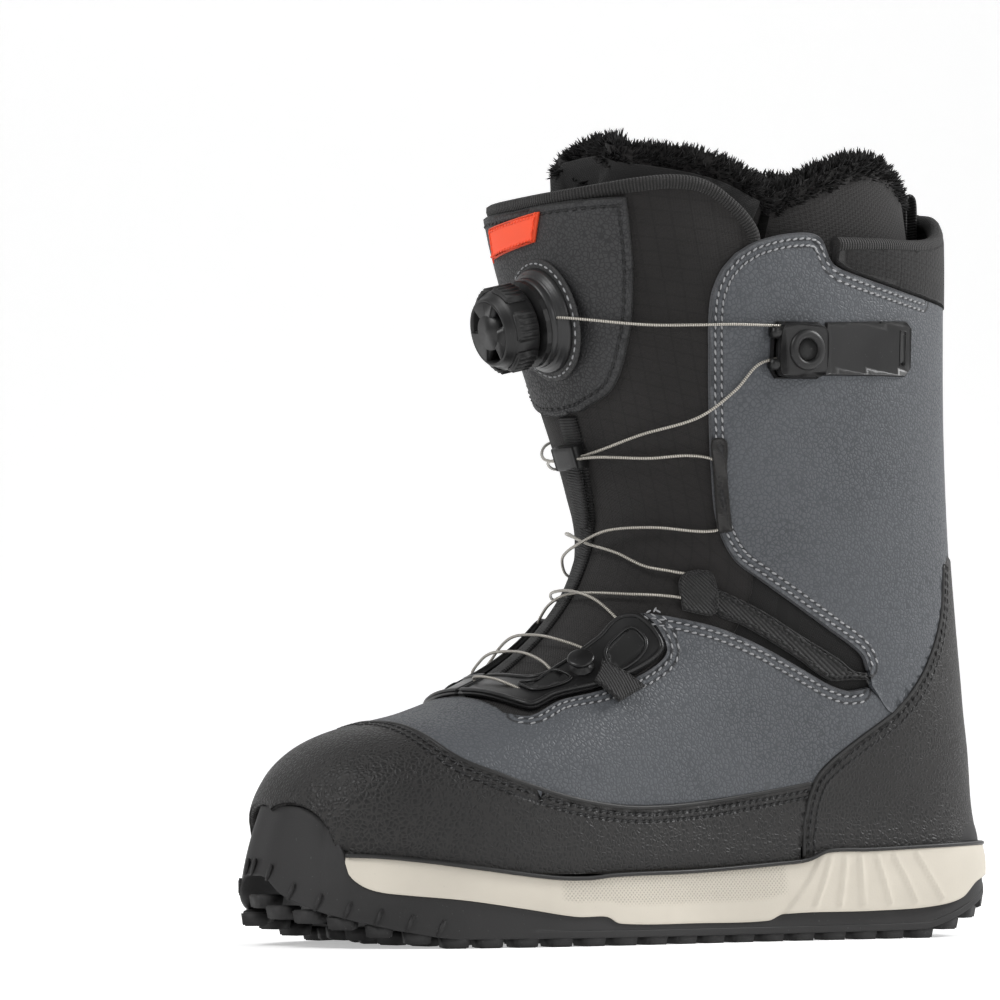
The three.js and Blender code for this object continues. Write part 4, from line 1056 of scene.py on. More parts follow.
def mirrored(half: Array, middle: float) -> Array:
    """Outline of both sides from its outer half, about u = 0 or u = pi."""
    other = half[::-1].copy()
    other[:, 1] = 2 * middle - other[:, 1]
    return np.concatenate([half, other])


def flipped(line: Array) -> Array:
    """The same line on the inner side, run the other way."""
    return line[::-1] * np.array([1, -1])


def both(seams: Sequence[Array], middle: float) -> list[Array]:
    """Seams of the outer half and their mirror, each in the outline's direction."""
    return list(seams) + [np.stack([s[::-1, 0], 2 * middle - s[::-1, 1]], 1) for s in seams]


# ------------------------------------------------------------------ pattern lines, side view [y, z]
RAND_TOP = [[-107, 82], [-99, 68], [-84, 60.8], [-60, 53.5], [-42, 50.2], [-24, 49], [4, 50.7], [40, 55.5],
            [55, 58]]
COUNTER_FRONT = [[49.5, 20], [49.5, 28], [51.3, 44], [55, 58], [60, 64], [71.5, 72], [90, 83.2]]
COUNTER_BACK = [[90, 83.2], [100, 92], [109, 102.5], [118, 119.5], [122, 140]]
SLOT_LOWER = [[79, 93.3], [70, 92], [62, 94], [48.6, 100.3], [31.4, 108.4], [15.3, 114.5], [0.4, 118],
              [-8, 119.5],
              [-12.4, 120]]
THROAT = [[-12.4, 120], [-8.5, 113], [-8, 105], [-20, 97], [-36.5, 91.3], [-52, 87.6], [-65, 82], [-72, 83],
          [-78, 95]]
SHAFT_FRONT = [[79, 99], [75.7, 105.5], [61.6, 114.3], [48.3, 122.3], [31.8, 132.5], [22, 139.5],
               [15.3, 152.3],
               [11.5, 172.4], [9.2, 190.4], [7.4, 211.7], [6.6, 233.5], [10, 244], [16, 251]]
SHAFT_TOP = [[25, 256], [42, 260], [52, 259], [58, 250], [65.5, 247], [92, 242], [113, 239.5]]
TONGUE_REAR = [[-92, 84], [-80, 76], [-62, 72], [-40, 78], [-18, 86], [3, 96], [18, 108], [29, 126],
               [29, 140],
               [24, 156], [21, 174], [18, 192], [17, 214], [19, 240], [24, 256]]
TONGUE_TOP = [[21, 262], [13.5, 268.5], [3.5, 274], [-8, 275.5], [-22, 274], [-36, 271.3], [-46, 269.5],
              [-60, 268]]
COLLAR_LOW = [[59.5, 250.2], [65.8, 247.4], [92, 242.4], [113, 239.9], [150, 236.4]]
COLLAR_RIM = [[150, 280], [140, 278], [133, 273], [128, 267], [120, 262.5], [105, 259], [80, 257.5],
              [60, 256.5]]
TUNNEL = [[15.4, 149], [12.2, 172], [10.6, 183], [15.8, 183], [17, 172], [20.6, 150]]
CUFF_TOP = [[36, 274], [50, 280], [66, 286], [82, 290], [98, 291], [112, 287], [124, 283], [150, 282]]
LINER_THROAT = [[-90, 110], [-80, 86], [-72, 80], [-40, 84], [-5, 98], [16, 118], [22, 140], [24, 180],
                [28, 230],
                [36, 274]]
LINER_TONGUE_TOP = [[34, 276], [24, 283], [8, 288.5], [-10, 289.5], [-70, 289.5]]
FUR_FRONT = [[35, 266], [34.6, 270], [24, 277.5], [8, 283], [-10, 284], [-70, 284]]
FUR_REAR = [[36, 269], [50, 276], [66, 282], [82, 286.5], [98, 287], [112, 283], [124, 279], [150, 278]]
STRAP_LOW = [[79.5, 96], [70.9, 96], [61.6, 95.8], [46.1, 104.6], [25.5, 115.4], [14, 120.2]]
STRAP_HIGH = [[14.5, 129], [16.6, 128.4], [32, 121.4], [48.3, 112.4], [65.9, 103.4], [72, 99.4], [78, 98.6]]
ANKLE_LOOP = [[1.5, 120.5], [3, 133.5], [13.6, 134.5], [13.6, 119.4]]
LOWER_GUIDE = [[-61, 100], [-70, 90], [-64, 84], [-52, 88.2], [-36.5, 91.9], [-20.4, 97.6], [-9, 105.4],
               [-9.4, 112.4], [-13.5, 118.5], [-19, 117.5], [-28, 109.5], [-43, 99.6], [-54, 95]]
UPPER_CLIP = [[33, 206], [31, 209], [31, 224], [33, 227], [51, 227.5], [54, 225], [54, 209], [51, 206.5]]
LEAF = [[54.4, 208], [54.4, 227.6], [94, 230.4], [97, 228], [97, 213], [94, 209.6]]
LEAF_SLOT = [[89.8, 213.2], [93.6, 213.2], [93.6, 226.8], [89.8, 226.8]]
TAB = [[-38.2, 92.4], [-34.4, 96.2], [-31.4, 100.2], [-20.7, 91.4], [-32.5, 85.6]]
SHIELD_HALF = [[0, 193], [13, 194], [28, 201], [37, 218.5], [42, 240], [44.5, 258], [45.5, 270], [45.5, 270],
               [30, 269], [0, 268]]
STRIP_MIDDLE = [[3, 192.4], [2, 178], [-1, 165], [-5, 150], [-8, 138], [-10, 126], [-10, 115], [-8, 104],
                [-4, 94],
                [1, 86.5], [4, 82]]
LABEL = [[-21, 253], [-18, 264], [18, 266.5], [12, 256]]
KEEPER = [[-5, 174.5], [9, 174.5], [9, 183], [-5, 183]]
LINER_SET = 4.6
FOAM = 7.4


def liner_depth(v: Array, u: Array) -> Array:
    """How far, in metres, the liner's outer face lies inside the last."""
    v = np.asarray(v, float)
    cosine = np.cos(u)
    high = np.maximum(0, (v - 13) / 7)
    before = high ** 1.3 * 35 * np.maximum(0, -cosine)
    behind = np.maximum(0, (v - 15) / 5) * 9 * np.maximum(0, cosine)
    return (LINER_SET + before + behind + high * 3) * MM


class Side(Enum):
    """The two sides of the boot."""
    OUTER = 1
    INNER = -1


@dataclass
class Upper:
    """The leather and cloth of the upper."""
    last: Last

    def line(self, points: Points, step: float = 1.6) -> Array:
        """Smooth pattern line as (v, u) on the outer side."""
        return self.last.from_side(smooth_line(points, step))

    def skirt(self, spots: Array) -> Array:
        """How the low edge of the upper spreads to the sole."""
        return settle(spots, self.last.grade)

    def shaft(self, side: Side) -> Panel:
        """One half of the grey shaft."""
        front, top = self.line(SHAFT_FRONT), self.line([[16, 251]] + SHAFT_TOP)
        heights = np.linspace(237.5, 140.3, 60)
        v = np.array([self.last.behind(z) for z in heights])
        back = np.stack([v, self.last.at_x(v, 8.3)], 1)
        low = self.line([[121.7, 140.3]] + [[y - 0.4, z + 0.4] for y,
                                            z in COUNTER_BACK[::-1]] + [[80, 93.6]])
        parts = [front[:-1], top, back, low]
        seams = [np.concatenate([front[2:], top[1:-4]]), back[3:-2]]
        if side is Side.INNER:
            parts = [flipped(part) for part in parts[::-1]]
            seams = [flipped(seam) for seam in seams]
        return Panel(self.last, np.concatenate(parts), seams, lift=0.2 * MM, puff=0.9 * MM)

    def vamp(self) -> Panel:
        """The grey vamp over the forefoot, with its wings to the heel."""
        throat, slot = self.line(THROAT[::-1][1:]), self.line(SLOT_LOWER[::-1])
        low = self.line([[90.5, 84.6], [90, 80], [72, 68], [60, 56], [40, 48], [4, 43], [-40, 43], [-84, 52],
                         [-104, 66], [-113, 84]])
        half = np.concatenate([[[throat[0, 0], PI]], throat, slot[1:], low, [[low[-1, 0], PI]]])
        seams = both([np.concatenate([throat[3:], slot[1:-3]])], PI)
        return Panel(self.last, mirrored(half, PI), seams, lift=0.2 * MM, puff=0.45 * MM)

    def rand(self) -> Panel:
        """The dark toe cap and rand."""
        top = self.line(RAND_TOP)
        rear = self.line([[55, 58], [52, 46], [49.2, 34], [49.2, 27]])
        low = self.line([[49.2, 26.5], [0, 26.5], [-60, 26.5], [-110, 26.5], [-134, 27.5]], 3.0)
        nose = np.stack([np.full(12, 0.8), np.linspace(low[-1, 1], PI, 13)[1:]], 1)
        nose[:, 0] = np.linspace(low[-1, 0], 0.8, 12)
        half = np.concatenate([[[top[0, 0], PI]], top, rear[1:], low[1:], nose])
        return Panel(self.last, mirrored(half, PI), both([top[1:-1]], PI), lift=0.9 * MM, thick=2.4 * MM,
                     puff=0.5 * MM,
                     edge_round=1.0 * MM, skirt=self.skirt)

    def counter(self) -> Panel:
        """The dark heel counter, round the heel."""
        front = self.line(COUNTER_FRONT[1:])
        back = self.line(COUNTER_BACK)
        low = self.line([[49.5, 27], [80, 26.5], [110, 26.5], [128, 27], [132.5, 30]], 3.0)[::-1]
        v_top = self.last.behind(140.3)
        half = np.concatenate([[[low[0, 0] + 0.15, 0.02]], low[1:], front, back[1:],
                               [[v_top, 0.6], [v_top, 0.3], [v_top, 0.0]]])
        seams = both([np.concatenate([front[2:], back[1:]])], 0.0)
        return Panel(self.last, mirrored(half, 0.0), seams, lift=1.2 * MM, thick=2.4 * MM, puff=0.6 * MM,
                     edge_round=1.0 * MM, skirt=self.skirt)

    def backstay(self) -> Panel:
        """The strip over the seam behind the leg."""
        v = np.array([self.last.behind(z) for z in np.linspace(136, 236, 50)])
        half = np.stack([v, self.last.at_x(v, 9.2)], 1)
        outline = mirrored(half, 0.0)
        return Panel(self.last, outline, [half[2:-2], outline[len(half) + 2:-2]], lift=0.9 * MM,
                     thick=1.6 * MM)

    def collar(self) -> Panel:
        """The padded cloth collar behind the leg."""
        low = self.line(COLLAR_LOW[:-1])
        rim = self.line(COLLAR_RIM[1:])
        v_low, v_rim = self.last.behind(236.4), self.last.behind(279.0)
        half = np.concatenate([[[v_rim, 0.0]], rim, low, [[v_low, 0.0]]])
        return Panel(self.last, mirrored(half, 0.0), both([low[1:]], 0.0), lift=0.3 * MM, thick=3.0 * MM,
                     edge_round=1.6 * MM, puff=1.2 * MM, puff_from=2 * MM, rings=(0.6 * MM, 1.0 * MM))

    def tongue(self) -> Panel:
        """The cloth tongue under the lace."""
        rear, top = self.line(TONGUE_REAR), self.line([[24, 256]] + TONGUE_TOP)
        half = np.concatenate([[[rear[0, 0], PI]], rear, top[1:], [[top[-1, 0], PI]]])
        return Panel(self.last, mirrored(half, PI), both([top[2:]], PI), lift=-2.3 * MM, thick=2.4 * MM,
                     puff=1.0 * MM,
                     puff_from=6 * MM, edge_round=1.0 * MM)

    def shield(self) -> Panel:
        """The stitched leather shield that carries the dial."""
        half = smooth_line(SHIELD_HALF[1:], 2.0)
        front = np.concatenate([[[0.0, 192.8]], half, [[0.0, 268]]])
        both_sides = np.concatenate([front, front[::-1][1:-1] * np.array([-1, 1])])
        vu = self.last.from_front(both_sides)
        return Panel(self.last, vu, [looped(vu)], lift=0.6 * MM, thick=3.0 * MM, puff=0.4 * MM,
                     edge_round=0.9 * MM)

    def gusset(self, side: Side) -> Panel:
        """Cloth behind the notch at the ankle."""
        shape = self.line([[-16, 104], [20, 96], [60, 82], [88, 80], [94, 100], [66, 126], [40, 146],
                           [22, 176],
                           [12, 200], [-4, 200], [-8, 150], [-16, 104]], 3.0)[:-1]
        if side is Side.INNER:
            shape = flipped(shape)
        return Panel(self.last, shape, [], lift=-2.6 * MM, thick=0.8 * MM, edge_round=0.3 * MM,
                     weave_angle=0.5)

    def strap(self, side: Side) -> list[Panel]:
        """The ankle strap in the notch, and the loop that the lace pulls it by."""
        made = []
        outlines = [self.line(STRAP_LOW + STRAP_HIGH), self.line(ANKLE_LOOP + ANKLE_LOOP[:1], 1.2)[:-1],
                    self.line(TUNNEL, 1.5)]
        for k, shape in enumerate(outlines):
            if side is Side.INNER:
                shape = flipped(shape)
            made.append(Panel(self.last, shape, [looped(shape)], lift=(0.4, 1.9, 1.3)[k] * MM,
                              thick=(1.8, 1.6, 1.3)[k] * MM, edge_round=0.5 * MM))
        return made

    def binding(self) -> None:
        """Ribbed tape over the tongue's top edge, and the ribbed roll on the collar's rim."""
        line = self.line([[18.4, 228], [20, 244], [24, 256]] + TONGUE_TOP[:-1] + [[-50, 269.2]])
        ridge = np.array([[line[-1, 0], PI]])
        route = np.concatenate([line, ridge, np.stack([line[::-1, 0], 2 * PI - line[::-1, 1]], 1)])
        spots, normals = self.last.trail(route, 1.2 * MM)
        centre = spots - normals * 3.3 * MM
        profile = [(-2.6, -1.8), (-1.0, -2.3), (1.0, -2.1), (2.2, -1.0), (2.4, 0.6), (1.2, 1.9), (-0.8, 2.2),
                   (-2.6, 1.7),
                   (-3.2, 0.0)]
        inward = [(x * MM, y * MM) for x, y in profile]
        keep(swept(centre, normals, inward), "tongue_binding", BINDING)
        rim = self.line(COLLAR_RIM[1:])
        full = np.concatenate([rim[::-1], flipped(rim[::-1])])
        spots, normals = self.last.trail(full, 1.2 * MM)
        roll = swept(spots - normals * 1.8 * MM, normals, round_profile(3.1 * MM, 14))
        keep(roll, "collar_roll", BINDING)

    def build(self) -> None:
        """Every piece of the upper."""
        for side in Side:
            word = side.name.lower()
            shaft = self.shaft(side)
            keep(shaft.mesh(), "shaft_" + word, GREY_LEATHER, stands_for=["shaft_panel_" + word])
            shaft.stitches("shaft_stitches_" + word, GREY_THREAD)
            keep(self.gusset(side).mesh(), "gusset_" + word, GUSSET_CLOTH)
            strap, loop, tunnel = self.strap(side)
            keep(strap.mesh(), "ankle_strap_" + word, WEBBING, stands_for=["ankle_strap_" + word])
            strap.stitches("strap_stitches_" + word, BLACK_THREAD, (1.6 * MM,), pitch=2.6 * MM)
            keep(loop.mesh(), "ankle_loop_" + word, WEBBING, stands_for=["ankle_loop_" + word])
            keep(tunnel.mesh(), "lace_tunnel_" + word, DARK_LEATHER, stands_for=["lace_tunnel_" + word])
        vamp = self.vamp()
        keep(vamp.mesh(), "vamp", GREY_LEATHER, stands_for=["vamp"])
        vamp.stitches("vamp_stitches", GREY_THREAD)
        for name, panel, replaced in (("rand", self.rand(), "rand"),
                                      ("heel_counter", self.counter(), "heel_counter_panel")):
            keep(panel.mesh(), name, DARK_LEATHER, stands_for=[replaced])
            panel.stitches(name + "_stitches", BLACK_THREAD, (2.3 * MM, 4.8 * MM))
            panel.piping(name + "_piping", PIPING)
        stay = self.backstay()
        keep(stay.mesh(), "backstay", DARK_LEATHER, stands_for=["backstay"])
        stay.stitches("backstay_stitches", BLACK_THREAD, (1.8 * MM,))
        collar = self.collar()
        keep(collar.mesh(), "rear_collar", COLLAR_CLOTH, stands_for=["rear_collar"])
        tongue = self.tongue()
        keep(tongue.mesh(), "tongue", TONGUE_CLOTH, stands_for=["tongue"])
        shield = self.shield()
        keep(shield.mesh(), "tongue_shield", SHIELD_LEATHER, stands_for=["tongue_shield"])
        shield.stitches("shield_stitches", BLACK_THREAD, (3.2 * MM,), pitch=3.6 * MM)
        self.binding()


@dataclass
class Sole:
    """Rubber outsole, cream midsole and heel bumper."""
    grade: tuple[float, float, float]

    plan = [[-2, -153], [14, -151.5], [32, -141], [46, -122], [55, -96], [58, -65], [57, -32], [52, 8],
            [48, 48], [47, 90],
            [43, 122], [29, 144], [2, 153], [-27, 144], [-41, 122], [-45, 90], [-45, 48], [-46, 8],
            [-50, -32],
            [-53, -65], [-50, -96], [-41, -122], [-29, -141], [-15, -151.5]]
    mid_top = [[-137, 32.4], [-127, 32], [-111, 30.3], [-94, 28], [-65, 24.4], [-50, 24], [-38, 25], [0, 26],
               [37, 28.2],
               [51, 29.5], [60, 32.6], [79, 33], [127, 34.7], [160, 35]]
    mid_bottom = [[-137, 32.4], [-135.7, 26], [-132, 22], [-127, 19.9], [-119, 18.8], [-99, 16.9],
                  [-75, 13.5],
                  [-55, 10.6], [-42, 10.4], [-36.5, 7.9], [0, 7.4], [32, 7.7], [39, 10], [79, 10.6],
                  [106, 11.7],
                  [123, 14.7], [134, 21], [160, 26]]
    bumper_top = [[-160, 49], [-152, 49.4], [-149, 48.8], [-145, 46], [-142, 42], [-137, 32.4]]
    tread = [[-153.5, 24], [-151, 15.4], [-144, 10], [-136, 7], [-123, 3.6], [-108, 0.8], [-100, 0],
             [104, 0], [115, 2.4],
             [128, 6.6], [142, 12], [153.5, 18]]

    def ring(self, step: float = 1.2) -> tuple[Array, Array]:
        """Plan points and outward normals, in pattern millimetres, toe first by the outer side."""
        line = evenly(smooth_line(self.plan, 2.0, closed=True), step, closed=True)
        ahead = unit(np.roll(line, -1, 0) - np.roll(line, 1, 0))
        return line, np.stack([ahead[:, 1], -ahead[:, 0]], 1)

    def real(self, x: Array, y: Array, z: Array) -> Array:
        """Pattern millimetres as graded metres."""
        return np.stack([x, y, z], -1) * np.array(self.grade) * MM

    def at(self, table: Points, y: Array) -> Array:
        """Height from a side-view line at lengthwise positions."""
        smooth = smooth_line(table, 1.5)
        return np.interp(y, smooth[:, 0], smooth[:, 1])

    def tread_at(self, y: float) -> float:
        """Height of the tread's lowest line at one lengthwise position."""
        return float(self.at(self.tread, y))

    def midsole(self) -> None:
        """Cream band with its raised heel block and fanned ridges."""
        line, out = self.ring()
        front = np.flatnonzero(line[:, 1] > -136.9)
        line, out = line[front], out[front]
        low, high = self.at(self.mid_bottom, line[:, 1]), self.at(self.mid_top, line[:, 1])
        rows = 26
        fans = np.array([[62, 52], [68, 64], [74, 75], [81, 88], [88.5, 101], [99, 114]])
        walls = rows - 6

        def place(s: Array, t: Array) -> Array:
            i, j = np.rint(t * (len(line) - 1)).astype(int), np.rint(s * rows).astype(int)
            share = np.clip((j - 2) / (walls - 2), 0, 1)
            depth = np.select([j == 0, j == 1, j <= walls, j == walls + 1, j == walls + 2, j == walls + 3],
                              [5.0, 0.5, 0.0, 0.5, 1.2, 4.0], 7.0)
            z = low[i] + (high[i] - low[i]) * share
            z = z + np.select([j == walls + 2, j >= walls + 3], [0.25, 0.0], 0.0)
            y = line[i, 1]
            bulge = 0.5 * np.sin(PI * share) - 1.2 * share
            diagonal = 39 + 18 * share
            bulge = bulge + 0.9 * np.clip((y - diagonal) / 0.9, 0, 1)
            for top, bottom in fans:
                away = np.abs(y - (bottom + (top - bottom) * share))
                bulge = bulge + 1.0 * np.clip(1.35 - away / 0.9, 0, 1) * (share > 0.1) * (share < 0.93)
            thin = np.clip((high[i] - low[i]) / 3, 0, 1)
            return self.real(line[i, 0] + out[i, 0] * (bulge - depth * thin),
                             y + out[i, 1] * (bulge - depth * thin), z)

        def marks(s: Array, t: Array) -> dict[str, Array]:
            i, j = np.rint(t * (len(line) - 1)).astype(int), np.rint(s * rows).astype(int)
            share = np.clip((j - 2) / (walls - 2), 0, 1)
            z = low[i] + (high[i] - low[i]) * share
            y = line[i, 1]
            ends = np.clip((y + 62) / 3, 0, 1) * np.clip((42 - y) / 3, 0, 1)
            zone = ends * np.clip((share - 0.35) / 0.1, 0, 1)
            return {"zone": zone, "along": y * MM, "across": z * MM}

        bm = mapped_grid(rows, len(line) - 1, place, marks)
        bmesh.ops.holes_fill(bm, edges=[e for e in bm.edges if e.is_boundary], sides=0)
        keep(bm, "midsole", CREAM, stands_for=["midsole"])
        # The welt cord is dark piping along the joint of upper and midsole: it hides the joint and, as
        # painted shade, stands for the shadow gap there.
        groove, normals = [], []
        for k in range(len(line)):
            groove.append(self.real(line[k, 0] - 0.3 * out[k, 0], line[k, 1] - 0.3 * out[k, 1],
                                    high[k] + 0.2))
            normals.append([out[k, 0], out[k, 1], 0.0])
        keep(swept(np.array(groove), np.array(normals), round_profile(0.75 * MM, 8)), "welt_groove", PIPING)

    def outsole(self) -> None:
        """Rubber wall, toe bumper, plate and lugs."""
        line, out = self.ring()
        y = line[:, 1]
        toe = np.clip((-137 - y) / 6, 0, 1)
        high = np.where(y < -137, self.at(self.bumper_top, y), self.at(self.mid_bottom, y) + 0.8)
        low = self.at(self.tread, y)
        profile = 22

        def place(s: Array, t: Array) -> Array:
            i, j = np.rint(t * len(line)).astype(int) % len(line), np.rint(s * profile).astype(int)
            share = np.clip((j - 4) / 14, 0, 1)
            tuck = (6.5 * toe[i] + 0.8) * share ** 1.6
            depth = tuck + np.select([j == 0, j == 1, j == 2, j == 3, j == 19, j == 20, j >= 21],
                                     [60.0, 16.0, 5.0, 1.0, 0.7, 1.8, 5.0], 0.0)
            z = low[i] + (high[i] - low[i]) * share
            z = z + np.select([j == 0, j == 1, j == 2, j == 3, j == 4, j == 19, j == 20, j >= 21],
                              [4.4, 4.4, 4.2, 3.2, 3.4, 0.4, 0.7, -0.4], 0.0)
            z = np.where((j > 4) & (j < 10), np.maximum(z, low[i] + 3.4 + 0.5 * (j - 4)), z)
            x = np.where(j == 0, 0.0, line[i, 0] - out[i, 0] * depth)
            yy = np.where(j == 0, line[i, 1] * 0.93, line[i, 1] - out[i, 1] * depth)
            return self.real(x, yy, z)

        bm = mapped_grid(profile, len(line), place)
        bmesh.ops.remove_doubles(bm, verts=bm.verts[:], dist=1e-6)
        bmesh.ops.holes_fill(bm, edges=[e for e in bm.edges if e.is_boundary], sides=0)
        keep(bm, "outsole", RUBBER, stands_for=["outsole"])
        self.lugs()

    def lugs(self) -> None:
        """Tread blocks round the edge and down the middle, and the slanted fins at the toe."""
        line, out = self.ring(1.0)
        every = np.linspace(0, len(line), 52, endpoint=False).astype(int)
        spots, x, size = [], [], []
        for k in every:
            y = line[k, 1]
            z = self.tread_at(y)
            slope = (self.tread_at(y + 3) - self.tread_at(y - 3)) / 6
            centre = line[k] - out[k] * 5.4
            spots.append(self.real(centre[0], centre[1], z + 2.3 - slope * out[k, 1] * 5.0))
            x.append([-out[k, 1], out[k, 0], 0.0])
            size.append([5.0 * MM, 4.9 * MM, 2.4 * MM])
        for y in list(range(-118, -40, 13)) + list(range(42, 120, 13)):
            for across in (-24, -9, 9, 24):
                z = self.tread_at(y + abs(across) * 0.3)
                spots.append(self.real(across, y + abs(across) * 0.3, z + 2.1))
                x.append([1.0, 0.35 * np.sign(across), 0.0])
                size.append([5.6 * MM, 3.6 * MM, 2.2 * MM])
        spots, x = np.array(spots), unit(np.array(x))
        block = bmesh.new()
        bmesh.ops.create_cube(block, size=2.0)
        for vert in block.verts:
            if vert.co.z < 0:
                vert.co.x *= 0.86
                vert.co.y *= 0.86
        bmesh.ops.bevel(block, geom=block.edges[:], offset=0.16, segments=2, affect="EDGES")
        z_up = np.tile([0.0, 0.0, 1.0], (len(spots), 1))
        bm = copies(block, matrices(spots, x, z_up, size))
        keep(bm, "tread_lugs", RUBBER, weld=0)
        fins = bmesh.new()
        bmesh.ops.create_cube(fins, size=2.0)
        bmesh.ops.bevel(fins, geom=fins.edges[:], offset=0.3, segments=2, affect="EDGES")
        places = []
        for k in range(len(line)):
            y = line[k, 1]
            if y > -104 or k % 11:
                continue
            z = self.tread_at(y)
            centre = line[k] - out[k] * 0.2
            places.append((self.real(centre[0], centre[1], z + 6.4), [out[k, 0], out[k, 1], 0.0],
                           [-out[k, 1] * 0.45, out[k, 0] * 0.45, 1.0]))
        spots = np.array([p[0] for p in places])
        x = unit(np.array([p[1] for p in places]))
        z_up = unit(np.array([p[2] for p in places]))
        keep(copies(fins, matrices(spots, x, z_up, (0.75 * MM, 0.7 * MM, 3.2 * MM))), "toe_fins", RUBBER,
             weld=0)

    def bumper(self) -> None:
        """Rubber crescent on the heel."""
        line, out = self.ring()
        rear = np.flatnonzero(line[:, 1] > 126)
        line, out = line[rear], out[rear]
        rows = 14
        fade = np.clip((line[:, 1] - 126) / 9, 0, 1) ** 0.5

        def place(s: Array, t: Array) -> Array:
            i, j = np.rint(t * (len(line) - 1)).astype(int), np.rint(s * rows).astype(int)
            angle = PI * (j / rows)
            z = 35.0 + 5.0 * fade[i] - 5.0 * fade[i] * np.cos(angle)
            push = 1.2 * np.sin(angle) ** 0.7 * fade[i] - 2.6 - 2.6 * (z - 35) / 10
            return self.real(line[i, 0] + out[i, 0] * push, line[i, 1] + out[i, 1] * push, z)

        bm = mapped_grid(rows, len(line) - 1, place)
        bmesh.ops.solidify(bm, geom=bm.faces[:], thickness=2.0 * MM)
        keep(bm, "heel_bumper", BUMPER, stands_for=["heel_bumper"])

    def build(self) -> None:
        """Every piece of the sole."""
        self.midsole()
        self.outsole()
        self.bumper()


